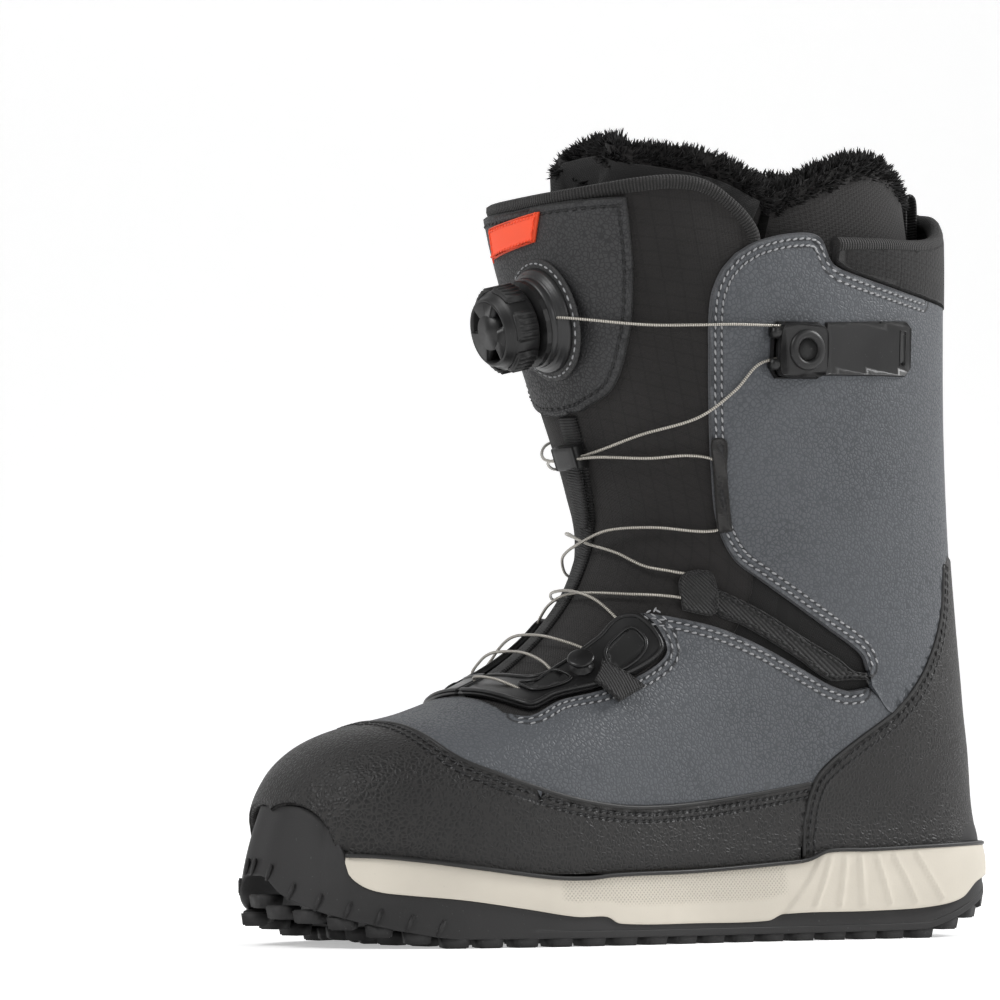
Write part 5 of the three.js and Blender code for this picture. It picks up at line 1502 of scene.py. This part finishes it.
@dataclass
class Dial:
    """The lace dial on the tongue."""
    place: Matrix

    def turned(self, profile: Points, steps: int = 64) -> Mesh:
        """Turned solid from (radius, height) millimetre points."""
        bm = bmesh.new()
        verts = [bm.verts.new((r * MM, 0, z * MM)) for r, z in profile]
        for a, b in zip(verts[:-1], verts[1:]):
            bm.edges.new((a, b))
        bmesh.ops.spin(bm, geom=bm.verts[:] + bm.edges[:], cent=(0, 0, 0), axis=(0, 0, 1), angle=2 * PI,
                       steps=steps,
                       use_duplicate=False)
        bmesh.ops.remove_doubles(bm, verts=bm.verts[:], dist=1e-6)
        return bm

    def put(self, bm: Mesh, name: str, finish: Finish, body: str = ROOT,
            stands_for: Sequence[str] = ()) -> None:
        """Moves a mesh from the dial's own frame and keeps it."""
        bmesh.ops.transform(bm, matrix=self.place, verts=bm.verts[:])
        keep(bm, name, finish, body=body, stands_for=stands_for)

    def wedge(self, inner: float, outer: float, start: float, end: float, low: float, high: float,
              bevel: float = 0.5) -> Mesh:
        """Bevelled block between two radii and two angles, in millimetres and degrees."""
        bm = bmesh.new()
        verts = []
        count = max(3, int((end - start) / 6))
        angles = np.radians(np.linspace(start, end, count))
        for radius, order in ((inner, angles), (outer, angles[::-1])):
            verts += [bm.verts.new((radius * math.cos(a) * MM, radius * math.sin(a) * MM,
                                    low * MM)) for a in order]
        face = bm.faces.new(verts)
        top = bmesh.ops.extrude_face_region(bm, geom=[face], use_keep_orig=True)
        bmesh.ops.translate(bm, vec=(0, 0, (high - low) * MM),
                            verts=[v for v in top["geom"] if isinstance(v, bmesh.types.BMVert)])
        bmesh.ops.recalc_face_normals(bm, faces=bm.faces[:])
        sharp = [e for e in bm.edges if len(e.link_faces) == 2 and e.calc_face_angle(0) > 0.6]
        bmesh.ops.bevel(bm, geom=sharp, offset=bevel * MM, segments=3, affect="EDGES")
        return bm

    def build(self) -> None:
        """Base ring, knob, raised plate and rubber pads."""
        base = [(12.2, 0.3), (19.3, -0.6), (19.35, 3.0), (18.9, 3.6), (18.2, 3.9), (17.9, 4.6), (17.5, 5.0),
                (16.9, 5.2),
                (16.7, 5.8), (16.9, 6.2), (16.6, 7.6), (16.0, 8.1), (14.6, 8.2), (14.3, 7.6), (13.9, 2.0),
                (12.2, 0.3)]
        self.put(self.turned(base, 72), "dial_base", GREY_NYLON, stands_for=["dial_base"])
        knob = [(13.2, 12.4), (14.3, 12.3), (14.7, 12.8), (14.75, 20.5), (14.6, 21.6), (13.9, 22.4),
                (13.2, 23.0), (12.6, 25.0),
                (12.1, 25.5), (11.4, 25.4), (10.9, 24.6), (10.7, 21.4), (9.8, 20.9), (0.0, 20.9)]
        self.put(self.turned(knob, 72), "dial_knob", NYLON, "dial_knob", ["dial_knob"])
        arms = []
        for k in range(3):
            arms.append(self.wedge(0.8, 12.0, 90 + 120 * k - 38, 90 + 120 * k + 38, 20.6, 25.6, 0.7))
        hub = bmesh.new()
        bmesh.ops.create_cone(hub, cap_ends=True, segments=40, radius1=7.0 * MM, radius2=6.4 * MM,
                              depth=5.6 * MM,
                              matrix=Matrix.Translation((0, 0, 23.1 * MM)))
        arms.append(hub)
        self.put(joined(bmesh.new(), arms), "dial_plate", NYLON, "dial_knob")
        pads = []
        for k in range(6):
            pads.append(self.wedge(13.6, 16.1, 60 * k - 22, 60 * k + 22, 13.0, 22.2, 0.8))
            for rib in range(5):
                angle = 60 * k - 16 + 8 * rib
                pads.append(self.wedge(15.6, 16.55, angle - 1.9, angle + 1.9, 13.8, 21.3, 0.25))
        self.put(joined(bmesh.new(), pads), "dial_grip", GRIP_RUBBER, "dial_knob", ["dial_grip"])
        teeth = []
        for k in range(30):
            teeth.append(self.wedge(12.6, 14.1, 12 * k - 3, 12 * k + 3, 8.0, 9.2, 0.2))
        self.put(joined(bmesh.new(), teeth), "dial_teeth", NYLON)
        collar = [(19.0, 0.2), (22.8, 0.0), (23.2, 0.6), (22.6, 1.1), (19.8, 1.5), (19.0, 1.4), (19.0, 0.2)]
        bm = self.turned(collar, 72)
        self.put(bm, "dial_collar", SHIELD_LEATHER)
        spots, ahead, up = [], [], []
        for k in range(40):
            a = 2 * PI * k / 40
            spots.append(self.place @ Vector((21.2 * MM * math.cos(a), 21.2 * MM * math.sin(a), 1.35 * MM)))
            ahead.append(self.place.to_3x3() @ Vector((-math.sin(a), math.cos(a), 0)))
            up.append(self.place.to_3x3() @ Vector((0, 0, 1)))
        rows = matrices(np.array(spots), np.array(ahead), np.array(up), (1.15 * MM, 0.42 * MM, 0.4 * MM))
        keep(copies(thread_bead(), rows), "dial_stitches", GREY_THREAD, weld=0)


@dataclass
class Hardware:
    """Moulded lace guides, the release hook and its tab."""
    last: Last

    def shape(self, points: Points, side: Side) -> Array:
        """Smooth closed pattern outline as (v, u)."""
        vu = self.last.from_side(smooth_line(points, 0.8, closed=True))
        return vu if side is Side.OUTER else flipped(vu)

    def plate(self, points: Points, side: Side, lift: float, thick: float, edge: float = 0.8, *,
              sharp: bool = False) -> Mesh:
        """Plate on the last with a rounded edge."""
        if sharp:
            points = cornered(points)
        vu = self.shape(points, side)
        return Panel(self.last, vu, [], lift=lift * MM, thick=thick * MM, edge_round=edge * MM).mesh()

    def rim(self, points: Points, side: Side, lift: float, radius: float, inset: float) -> Mesh:
        """Raised round rim inside a plate's edge."""
        vu = self.shape(points, side)
        panel = Panel(self.last, vu, [], lift=lift * MM)
        spots, normals = panel.rail(looped(vu), inset * MM, 0.9 * MM, 0.0)
        return swept(spots[:-1], normals[:-1], round_profile(radius * MM, 8, 0.8), closed=True)

    def disc(self, v: float, u: float, side: Side, profile: Points, steps: int = 40) -> Mesh:
        """Turned piece standing on the last at (v, u)."""
        bm = Dial(Matrix.Identity(4)).turned(profile, steps)
        here = np.array([v]), np.array([u * side.value])
        spot, normal = self.last.point(*here)[0], self.last.normal(*here)[0]
        turn = Vector(normal).to_track_quat("Z", "Y").to_matrix().to_4x4()
        bmesh.ops.transform(bm, matrix=Matrix.Translation(Vector(spot)) @ turn, verts=bm.verts[:])
        return bm

    def lower(self, side: Side) -> None:
        """Crescent guide beside the instep."""
        word = side.name.lower()
        bm = joined(bmesh.new(),
                    [self.plate(LOWER_GUIDE, side, 2.0, 2.2), self.rim(LOWER_GUIDE, side, 2.0, 0.9, 1.3)])
        keep(bm, "lower_guide_" + word, NYLON, stands_for=["lower_guide_" + word])
        window_a = [[-58, 89.5], [-50, 91.3], [-44.5, 94.0], [-46.5, 96.4], [-54, 92.8], [-59, 91.6]]
        window_b = [[-29, 97.2], [-20, 101.6], [-15, 107.6], [-17, 112.6], [-22, 109.8], [-29, 102.8]]
        # The window plates are painted shade: darker nylon where the guide's windows fall into shade.
        dark = [self.plate(window_a, side, 2.35, 0.9, 0.3), self.plate(window_b, side, 2.35, 0.9, 0.3)]
        keep(joined(bmesh.new(), dark), "lower_guide_recess_" + word, SHADE_NYLON)
        rims = [self.rim(window_a, side, 2.5, 0.6, -0.3), self.rim(window_b, side, 2.5, 0.6, -0.3)]
        keep(joined(bmesh.new(), rims), "lower_guide_windows_" + word, NYLON)

    def upper(self, side: Side) -> None:
        """Clip and leaf on the shaft."""
        word = side.name.lower()
        lower_body = self.plate(UPPER_CLIP, side, 3.0, 3.0, 0.7, sharp=True)
        cover = [[34.0, 207.0], [32.4, 209.6], [32.4, 223.4], [34, 226], [50, 226.4], [53, 224], [53, 210],
                 [50.6, 207.4]]
        top = self.plate(cover, side, 6.6, 3.2, 1.1)
        boss_v, boss_u = self.last.from_side([[43.5, 217]])[0]
        ring = [(4.0, 5.6), (7.4, 5.6), (7.6, 6.9), (6.9, 7.8), (5.4, 8.1), (4.3, 7.5), (4.0, 5.6)]
        boss = self.disc(boss_v, boss_u, side, ring)
        tubes = []
        for z in (211.2, 222.8):
            ends = self.last.from_side([[29.6, z], [37, z]])
            ends[:, 1] *= side.value
            spots = self.last.lifted(ends[:, 0], ends[:, 1], 4.0 * MM)
            normals = self.last.normal(ends[:, 0], ends[:, 1])
            tubes.append(swept(evenly(spots, 1.5 * MM),
                               np.repeat(normals[:1], len(evenly(spots, 1.5 * MM)), 0),
                               round_profile(2.2 * MM, 14)))
        keep(joined(bmesh.new(), [lower_body, top, boss] + tubes), "upper_guide_" + word, NYLON,
             stands_for=["upper_guide_" + word])
        # Painted shade: a dark disc in the clip's hole.
        keep(self.disc(boss_v, boss_u, side, [(0.0, 6.85), (4.05, 6.85), (4.05, 6.2), (0.0, 6.2)]),
             "clip_hole_" + word,
             SHADE_NYLON)
        leaf = self.plate(LEAF, side, 2.4, 2.4, 0.8, sharp=True)
        keep(leaf, "upper_guide_tab_" + word, NYLON,
             stands_for=["upper_guide_tab_" + word])
        # Painted shade: a dark plate marks the leaf's slot.
        keep(self.plate(LEAF_SLOT, side, 2.55, 0.8, 0.2, sharp=True), "leaf_slot_" + word, SHADE_NYLON)

    def hook(self) -> None:
        """Release hook on the outer guide, and the webbing tab that swings off it."""
        profile = [(0.0, 7.1), (4.2, 7.1), (4.8, 6.8), (5.0, 6.3), (4.8, 5.8), (3.2, 5.3), (2.9, 4.8),
                   (2.9, 3.0), (4.6, 2.4),
                   (4.6, 1.6), (0.0, 1.4)]
        keep(self.disc(6.78, 2.46, Side.OUTER, profile), "release_hook", NYLON, stands_for=["release_hook"])
        vu = self.last.from_side(smooth_line(cornered(TAB), 1.0, closed=True))
        tab = Panel(self.last, vu, [looped(vu)], lift=4.1 * MM, thick=1.5 * MM, edge_round=0.4 * MM,
                    u_step=0.03, v_step=0.06)
        keep(tab.mesh(), "release_tab", WEBBING, body="release_tab", stands_for=["release_tab"])

    def build(self) -> None:
        """Every guide."""
        for side in Side:
            self.lower(side)
            self.upper(side)
        self.hook()


LACE_FROM_DIAL = [[16.2, 2.32, 2.4], [16.33, 2.02, 2.4], [16.43, 1.86, 2.6], [16.5, 1.74, 3.2]]
LACE_ROUND_SHIELD = [[16.2, 2.86, 3.4], [16.2, 2.6, 2.6]]
LACE_MAIN = [
    [16.55, 1.655, 3.6], [16.58, 1.6, 3.6], [16.45, 1.555, 3.6], [16.35, 1.54, 3.6], [16.2, 1.56, 3.6],
    [16.13, 1.61, 3.6], [16.1, 1.665, 3.6], [15.93, 1.76, 3.2], [15.5, 1.88, 2.6], [14.9, 2.1, 2.3],
    [14.1, 2.48, 2.2], [13.3, 2.86, 2.2], [13.0, 3.12, 2.3], [13.18, PI + .3, 2.2], [13.55, PI + .68, 2.0],
    [14.0, PI + .95, 1.2], [14.12, PI + 1.1, .1], [13.85, PI + 1.135, -.35], [13.35, PI + 1.12, -.35],
    [12.9, PI + 1.1, -.35], [12.6, PI + 1.06, .1], [12.1, PI + .93, 1.3], [11.0, PI + .62, 1.9],
    [9.9, PI + .28, 2.1], [9.3, PI + .02, 2.4], [9.15, 2.8, 2.1], [9.25, 2.55, 1.8], [9.75, 2.36, 1.4],
    [10.2, 2.235, .7], [10.28, 2.17, .2], [10.1, 2.13, -.1], [9.85, 2.12, -.1], [9.62, 2.14, .1],
    [9.38, 2.22, .7],
    [8.9, 2.36, 1.5], [8.4, 2.58, 1.8], [8.05, 2.9, 2.0], [7.95, PI + .04, 2.3], [7.9, PI + .3, 2.0],
    [7.85, PI + .5, 1.6], [7.8, PI + .64, .9]]
LACE_REAR = [[7.6, PI + .74, .15], [7.35, PI + .73, .15]]
LACE_MIDDLE = [[6.95, PI + .7, .15], [6.5, PI + .66, .15]]
LACE_HOOK = [
    [7.14, PI + .6, .5], [6.98, PI + .4, 1.5], [6.9, PI + .15, 2.3], [6.93, 3.0, 2.7], [6.97, 2.8, 3.5],
    [6.99, 2.6, 4.6], [6.96, 2.45, 4.9], [6.85, 2.365, 4.9], [6.7, 2.36, 4.9], [6.6, 2.45, 4.9],
    [6.58, 2.6, 4.6],
    [6.54, 2.8, 3.7], [6.5, 3.0, 2.9], [6.48, PI + .15, 2.3], [6.46, PI + .4, 1.5], [6.38, PI + .57, .5]]
LACE_FRONT = [[6.15, PI + .64, .15], [5.97, PI + .58, .3], [5.87, PI + .4, 1.1], [5.84, PI + .18, 1.5],
              [5.83, PI, 1.7]]
LACE_CROSS_OVER = 2.1


@dataclass
class Lacing:
    """The steel lace, tongue webbing and its keeper."""
    last: Last
    dial: Matrix
    spool: float

    def route(self) -> Array:
        """The whole lace, dial to dial."""
        halves = []
        for side in Side:
            sign = side.value
            ports = (self.spool + 1.15 * MM, 18.8 * MM)
            start = [self.dial @ Vector((sign * reach, 0, 4.6 * MM)) for reach in ports]
            rows = (LACE_FROM_DIAL if side is Side.OUTER else LACE_ROUND_SHIELD + LACE_FROM_DIAL) + LACE_MAIN
            ends_outside = side is Side.INNER
            rows = rows + LACE_REAR + (LACE_HOOK if ends_outside else LACE_MIDDLE) + LACE_FRONT
            table = np.array(rows)
            lift = table[:, 2].copy()
            if side is Side.INNER:
                over = np.minimum(1, 1.6 * np.maximum(0, 1 - np.abs(table[:, 1] - PI) / 0.6))
                lift += LACE_CROSS_OVER * over
            spots = self.last.lifted(table[:, 0], table[:, 1] * sign, lift * MM)
            halves.append(np.concatenate([np.array(start), spots]))
        whole = np.concatenate([halves[0], halves[1][::-1]])
        apart = np.concatenate([[True], np.linalg.norm(np.diff(whole, axis=0), axis=1) > 1.2 * MM])
        return evenly(smooth_line(whole[apart], 1.2 * MM), 1.1 * MM)

    def tape(self, route: Array, lift: float, width: float, thick: float, name: str, finish: Finish,
             stands_for: Sequence[str] = ()) -> None:
        """Flat tape laid on the last along (v, u)."""
        spots, normals = self.last.trail(route, 1.1 * MM)
        calm = normals.copy()
        for _ in range(6):
            calm[1:-1] = (calm[:-2] + 2 * calm[1:-1] + calm[2:]) / 4
        keep(swept(spots + normals * lift * MM, unit(calm), tape_profile(width * MM, thick * MM)), name,
             finish,
             stands_for=stands_for)

    def build(self) -> None:
        """Lace, webbing, keeper and tag."""
        route = self.route()
        length = float(np.linalg.norm(np.diff(route, axis=0), axis=1).sum())
        LOG.info("lace length %.3f m", length)
        up = np.tile([0.13, -0.85, 0.5], (len(route), 1))
        keep(swept(route, up, round_profile(0.58 * MM, 8)), "lace", STEEL_CABLE, stands_for=["lace"])
        strip = self.last.from_front(smooth_line(STRIP_MIDDLE, 2.0))
        self.tape(strip, -1.5, 10.5, 1.5, "tongue_webbing", WEBBING, ["tongue_webbing"])
        tail = self.last.from_front(smooth_line([[2, 176], [1, 170], [-1, 162], [-3, 153]], 1.5))
        self.tape(tail, 1.6, 9.0, 1.3, "keeper_tail", WEBBING)
        tag = self.last.from_front(smooth_line(cornered(LABEL), 1.2, closed=True))
        label = Panel(self.last, tag, [looped(tag)], lift=2.2 * MM, thick=1.7 * MM,
                      edge_round=0.3 * MM, u_step=0.03)
        keep(label.mesh(), "label", TAG, stands_for=["label"])
        label.stitches("label_stitches", TAG, (1.3 * MM,), pitch=2.2 * MM)
        block = self.last.from_front(smooth_line(cornered(KEEPER), 1.0, closed=True))
        keep(Panel(self.last, block, [], lift=5.6 * MM, thick=5.2 * MM, edge_round=1.1 * MM,
                   u_step=0.03).mesh(),
             "lace_keeper", NYLON, stands_for=["lace_keeper"])


@dataclass
class Liner:
    """Soft liner with its fur, and the rear pull loop."""
    last: Last

    def line(self, points: Points, step: float = 2.5) -> Array:
        """Smooth pattern line as (v, u) on the outer side."""
        return self.last.from_side(smooth_line(points, step))

    def boot(self) -> Panel:
        """The liner's boot, open down the front."""
        throat, top = self.line(LINER_THROAT), self.line(CUFF_TOP)
        half = np.concatenate([[[20.0 - 0.95, 0.0]], top[::-1][2:], throat[::-1][1:], [[0.7, PI - 0.02]]])
        half[:, 1] = np.clip(half[:, 1], 0, PI - 0.02)
        outline = np.concatenate([half, half[::-1][:-1] * np.array([1, -1])])
        return Panel(self.last, outline, [], lift=0.0, thick=FOAM * MM, edge_round=3.2 * MM,
                     under_round=3.2 * MM,
                     v_step=0.2, u_step=0.1, depth=liner_depth, rings=(1.0 * MM, 1.3 * MM, 1.6 * MM))

    def tongue(self) -> Panel:
        """The liner's own tongue."""
        throat = self.line([[-60, 84], [-40, 92], [-10, 108], [8, 122], [14, 140], [17, 180], [22, 230],
                            [32, 270]])
        top = self.line(LINER_TONGUE_TOP)
        half = np.concatenate([[[throat[0, 0], PI]], throat, top, [[top[-1, 0], PI]]])
        return Panel(self.last, mirrored(half, PI), [], lift=-0.5 * MM, thick=(FOAM - 1) * MM,
                     edge_round=3.0 * MM,
                     under_round=3.0 * MM, v_step=0.2, u_step=0.1, depth=liner_depth,
                     rings=(1.0 * MM, 1.3 * MM, 1.6 * MM))

    def rim_path(self, points: Points, middle: float) -> Array:
        """(v, u) of a whole rim, one side to the other."""
        return mirrored(self.line(points, 1.5), middle)

    def fur(self, name: str, points: Points, middle: float, seed: int, amount: int, stands_for: str) -> None:
        """A roll of pile on a rim, with tufts over it and down the inner face."""
        path = self.rim_path(points, middle)
        depth = liner_depth(path[:, 0], path[:, 1]) + 6.2 * MM
        normals = self.last.normal(path[:, 0], path[:, 1])
        centre = evenly(self.last.point(path[:, 0], path[:, 1]) - normals * depth[:, None], 2.0 * MM)
        near = nearest_rows(centre, self.last.point(path[:, 0], path[:, 1]) - normals * depth[:, None],
                            np.concatenate([path, normals], 1))
        normals = unit(near[:, 2:])
        keep(swept(centre, normals, round_profile(4.6 * MM, 12)), name + "_core", FUR)
        rng = np.random.default_rng(seed)
        k = rng.integers(1, len(centre) - 1, amount)
        ahead = unit(np.gradient(centre, axis=0))[k]
        out = normals[k]
        up = np.cross(ahead, out)
        up = unit(up * np.sign(up[:, 2:] + 1e-9))
        angle = rng.uniform(-0.9, PI + 0.6, amount)
        ray = out * -np.cos(angle)[:, None] + up * np.sin(angle)[:, None]
        drop = rng.uniform(0, 1, amount) ** 2 * 14 * MM * (np.cos(angle) > 0.3)
        clump = np.sin(k * 0.9 + 3 * np.sin(angle * 2.0))[:, None]
        foot = centre[k] + ray * 3.6 * MM - up * drop[:, None] + ahead * rng.uniform(-1, 1, (amount, 1)) * MM
        lean = unit(ray + up * 0.25 + ahead * (0.45 * clump + rng.normal(0, 0.25, (amount, 1)))
                    + out * rng.normal(0, 0.2, (amount, 1)))
        tuft = bmesh.new()
        rows = [(0.6, 0.0, 0.0), (0.5, 0.35, 0.10), (0.32, 0.7, 0.28), (0.05, 1.0, 0.5)]
        rings = [[tuft.verts.new((r * math.cos(2 * PI * n / 3) + bend, r * math.sin(2 * PI * n / 3),
                                  h)) for n in range(3)]
                 for r, h, bend in rows]
        for a, b in zip(rings[:-1], rings[1:]):
            for n in range(3):
                tuft.faces.new((a[n], a[(n + 1) % 3], b[(n + 1) % 3], b[n]))
        tuft.faces.new(rings[0][::-1])
        tuft.faces.new(rings[-1])
        tall = rng.uniform(3.6, 6.4, (amount, 1)) * MM
        wide = rng.uniform(0.8, 1.5, (amount, 1)) * MM
        sideways = unit(np.cross(lean, rng.normal(0, 1, (amount, 3))))
        bm = copies(tuft, matrices(foot, sideways, lean, np.concatenate([wide, wide, tall], 1)), rise="tip")
        keep(bm, name, FUR, stands_for=[stands_for], weld=0, outward=False)

    def pull_loop(self, box: tuple[Vector, Vector]) -> None:
        """Ribbed webbing loop behind the cuff, filling the CAD loop's own room."""
        low, high = box
        front, back, foot, top = high.y, low.y, low.z, high.z
        thick = 1.3 * MM
        near, far = front - thick / 2, back + thick / 2
        route = [[near, foot], [near, foot + 8 * MM], [near, top - 5 * MM],
                 [near - 0.6 * MM, top - 1.8 * MM],
                 [(near + far) / 2, top - thick / 2], [far + 0.6 * MM, top - 1.8 * MM], [far, top - 5 * MM],
                 [far, foot + 2 * MM]]
        line = evenly(smooth_line(route, 0.8 * MM), 0.8 * MM)
        spots = np.stack([np.full(len(line), (low.x + high.x) / 2), line[:, 0], line[:, 1]], 1)
        ahead = unit(np.gradient(spots, axis=0))
        normals = np.stack([np.zeros(len(line)), ahead[:, 2], -ahead[:, 1]], 1)
        bm = swept(spots - normals * thick / 2, normals, tape_profile((high.x - low.x) * 0.98, thick))
        keep(bm, "pull_loop", WEBBING, stands_for=["pull_loop"])

    def strap(self) -> None:
        """Hook-and-loop strap round the liner's tongue."""
        route = self.last.from_side(smooth_line([[27, 264.5], [10, 271.5], [-14, 275], [-36, 275.5],
                                                 [-58, 275.5]], 1.5))
        full = np.concatenate([route, np.stack([route[::-1, 0], 2 * PI - route[::-1, 1]], 1)])
        depth = liner_depth(full[:, 0], full[:, 1])
        normals = self.last.normal(full[:, 0], full[:, 1])
        spots = self.last.point(full[:, 0], full[:, 1]) - normals * (depth - 0.2 * MM)[:, None]
        centre = evenly(spots, 1.2 * MM)
        near = nearest_rows(centre, spots, np.concatenate([full, normals], 1))
        keep(swept(centre, unit(near[:, 2:]), tape_profile(14 * MM, 1.6 * MM)), "liner_strap", GUSSET_CLOTH,
             stands_for=["liner_strap"])

    def build(self) -> None:
        """Every soft piece inside the shell."""
        boot = keep(self.boot().mesh(), "liner_boot", LINER_CLOTH, stands_for=["liner_boot"])
        tongue = keep(self.tongue().mesh(), "liner_tongue", LINER_CLOTH, stands_for=["liner_tongue"])
        for piece in (boot, tongue):
            smooth = piece.modifiers.new("smooth", "SUBSURF")
            smooth.levels = 1
            smooth.render_levels = 1
        self.fur("fur_tongue", FUR_FRONT, PI, 11, 5200, "liner_fur_tongue")
        self.fur("fur_cuff", FUR_REAR, 0.0, 12, 5600, "liner_fur_cuff")
        self.pull_loop(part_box("pull_loop"))
        self.strap()


CAD_FINISHES = {
    "lining": GUSSET_CLOTH, "toe_puff": BOARD, "heel_stiffener": BOARD, "shank": STEEL,
    "lasting_board": BOARD,
    "footbed": BOARD, "liner_outsole": RUBBER, "dial_spool": NYLON, "dial_cartridge": NYLON,
    "dial_driver": NYLON}


def finish_cad(nodes: dict[str, bpy.types.Object]) -> None:
    """Materials for the CAD nodes that stay in view."""
    for name, finish in CAD_FINISHES.items():
        node = nodes.get(name)
        if node is None:
            continue
        node.data.materials.clear()
        node.data.materials.append(finish.material())


@dataclass(frozen=True)
class Studio:
    """Floor, light and camera."""
    distance: float = 1.711
    height: float = 0.059
    azimuth: float = 58.0

    def floor(self) -> None:
        """Plain pale floor that curves up behind the boot."""
        away = math.radians(self.azimuth)
        forward = np.array([-math.sin(away), math.cos(away), 0.0])
        side = np.array([math.cos(away), math.sin(away), 0.0])
        profile = [(-3.0, 0.0), (1.6, 0.0), (1.6, 0.0), (2.6, 0.25), (3.2, 0.9), (3.4, 2.0), (3.4, 4.5)]
        line = evenly(smooth_line(profile, 0.1), 0.12)

        def place(s: Array, t: Array) -> Array:
            i = np.rint(t * (len(line) - 1)).astype(int)
            spots = forward * line[i, :1] + side * (s[:, None] - 0.5) * 12
            spots[:, 2] = line[i, 1]
            return spots

        bm = mapped_grid(2, len(line) - 1, place)
        mesh = bpy.data.meshes.new("floor")
        for face in bm.faces:
            face.smooth = True
        bm.to_mesh(mesh)
        bm.free()
        made = bpy.data.objects.new("floor", mesh)
        bpy.context.scene.collection.objects.link(made)
        paper = bpy.data.materials.new("floor_paper")
        paper.use_nodes = True
        skin = paper.node_tree.nodes["Principled BSDF"]
        skin.inputs["Base Color"].default_value = (0.86, 0.86, 0.86, 1)
        skin.inputs["Roughness"].default_value = 0.9
        skin.inputs["Emission Color"].default_value = (1, 1, 1, 1)
        skin.inputs["Emission Strength"].default_value = 0.42
        mesh.materials.append(paper)

    def light(self, name: str, spot: tuple[float, float, float], power: float, size: float) -> None:
        """Soft square light aimed at the boot."""
        data = bpy.data.lights.new(name, "AREA")
        data.energy = power
        data.size = size
        made = bpy.data.objects.new(name, data)
        made.location = spot
        made.rotation_euler = (Vector((0, 0, 0.14)) - Vector(spot)).to_track_quat("-Z", "Y").to_euler()
        bpy.context.scene.collection.objects.link(made)

    def build(self) -> None:
        """Camera, lights, world and floor."""
        scene = bpy.context.scene
        scene.view_settings.view_transform = "Standard"
        self.floor()
        world = bpy.data.worlds.new("studio")
        scene.world = world
        world.use_nodes = True
        world.node_tree.nodes["Background"].inputs[0].default_value = (1, 1, 1, 1)
        world.node_tree.nodes["Background"].inputs[1].default_value = 0.34
        self.light("key", (0.1, -1.5, 1.5), 22.0, 0.8)
        self.light("fill", (1.9, 0.5, 0.8), 9.0, 0.9)
        self.light("rim", (0.4, 1.5, 1.2), 26.0, 0.6)
        camera = bpy.data.cameras.new("camera")
        camera.lens = 165.6
        camera.sensor_width = 36.0
        camera.clip_end = 50
        made = bpy.data.objects.new("camera", camera)
        scene.collection.objects.link(made)
        away = math.radians(self.azimuth)
        made.location = (self.distance * math.sin(away), -self.distance * math.cos(away), self.height)
        made.rotation_euler = (math.radians(90 + 3.48), 0, away + math.radians(1.52))
        scene.camera = made


def main() -> None:
    """Builds the whole scene."""
    logging.basicConfig(level=logging.INFO, format="%(message)s")
    make_effects()
    low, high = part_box("outsole")
    length, width = high.y - low.y, high.x - low.x
    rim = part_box("tongue")[1].z
    grade = (width / (PATTERN_WIDTH * MM), length / (PATTERN_LENGTH * MM), rim / (PATTERN_RIM * MM))
    LOG.info("grade %s", grade)
    last = Last(grade)
    joints = {joint["name"]: joint for joint in frame["joints"]}
    turn = joints["dial_turn"]
    axis = Vector(turn["axis"]).normalized()
    seat = Vector(turn["pos_m"]) - axis * 0.012
    side = Vector((1, 0, 0))
    dial_place = Matrix.Translation(seat) @ Matrix((side, axis.cross(side), axis)).transposed().to_4x4()
    spool_low, spool_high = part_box("dial_spool")
    Upper(last).build()
    Sole(grade).build()
    Dial(dial_place).build()
    Hardware(last).build()
    Lacing(last, dial_place, (spool_high.x - spool_low.x) / 2).build()
    Liner(last).build()
    finish_cad(frame["nodes"])
    Studio().build()


if __name__ == "__main__":
    main()
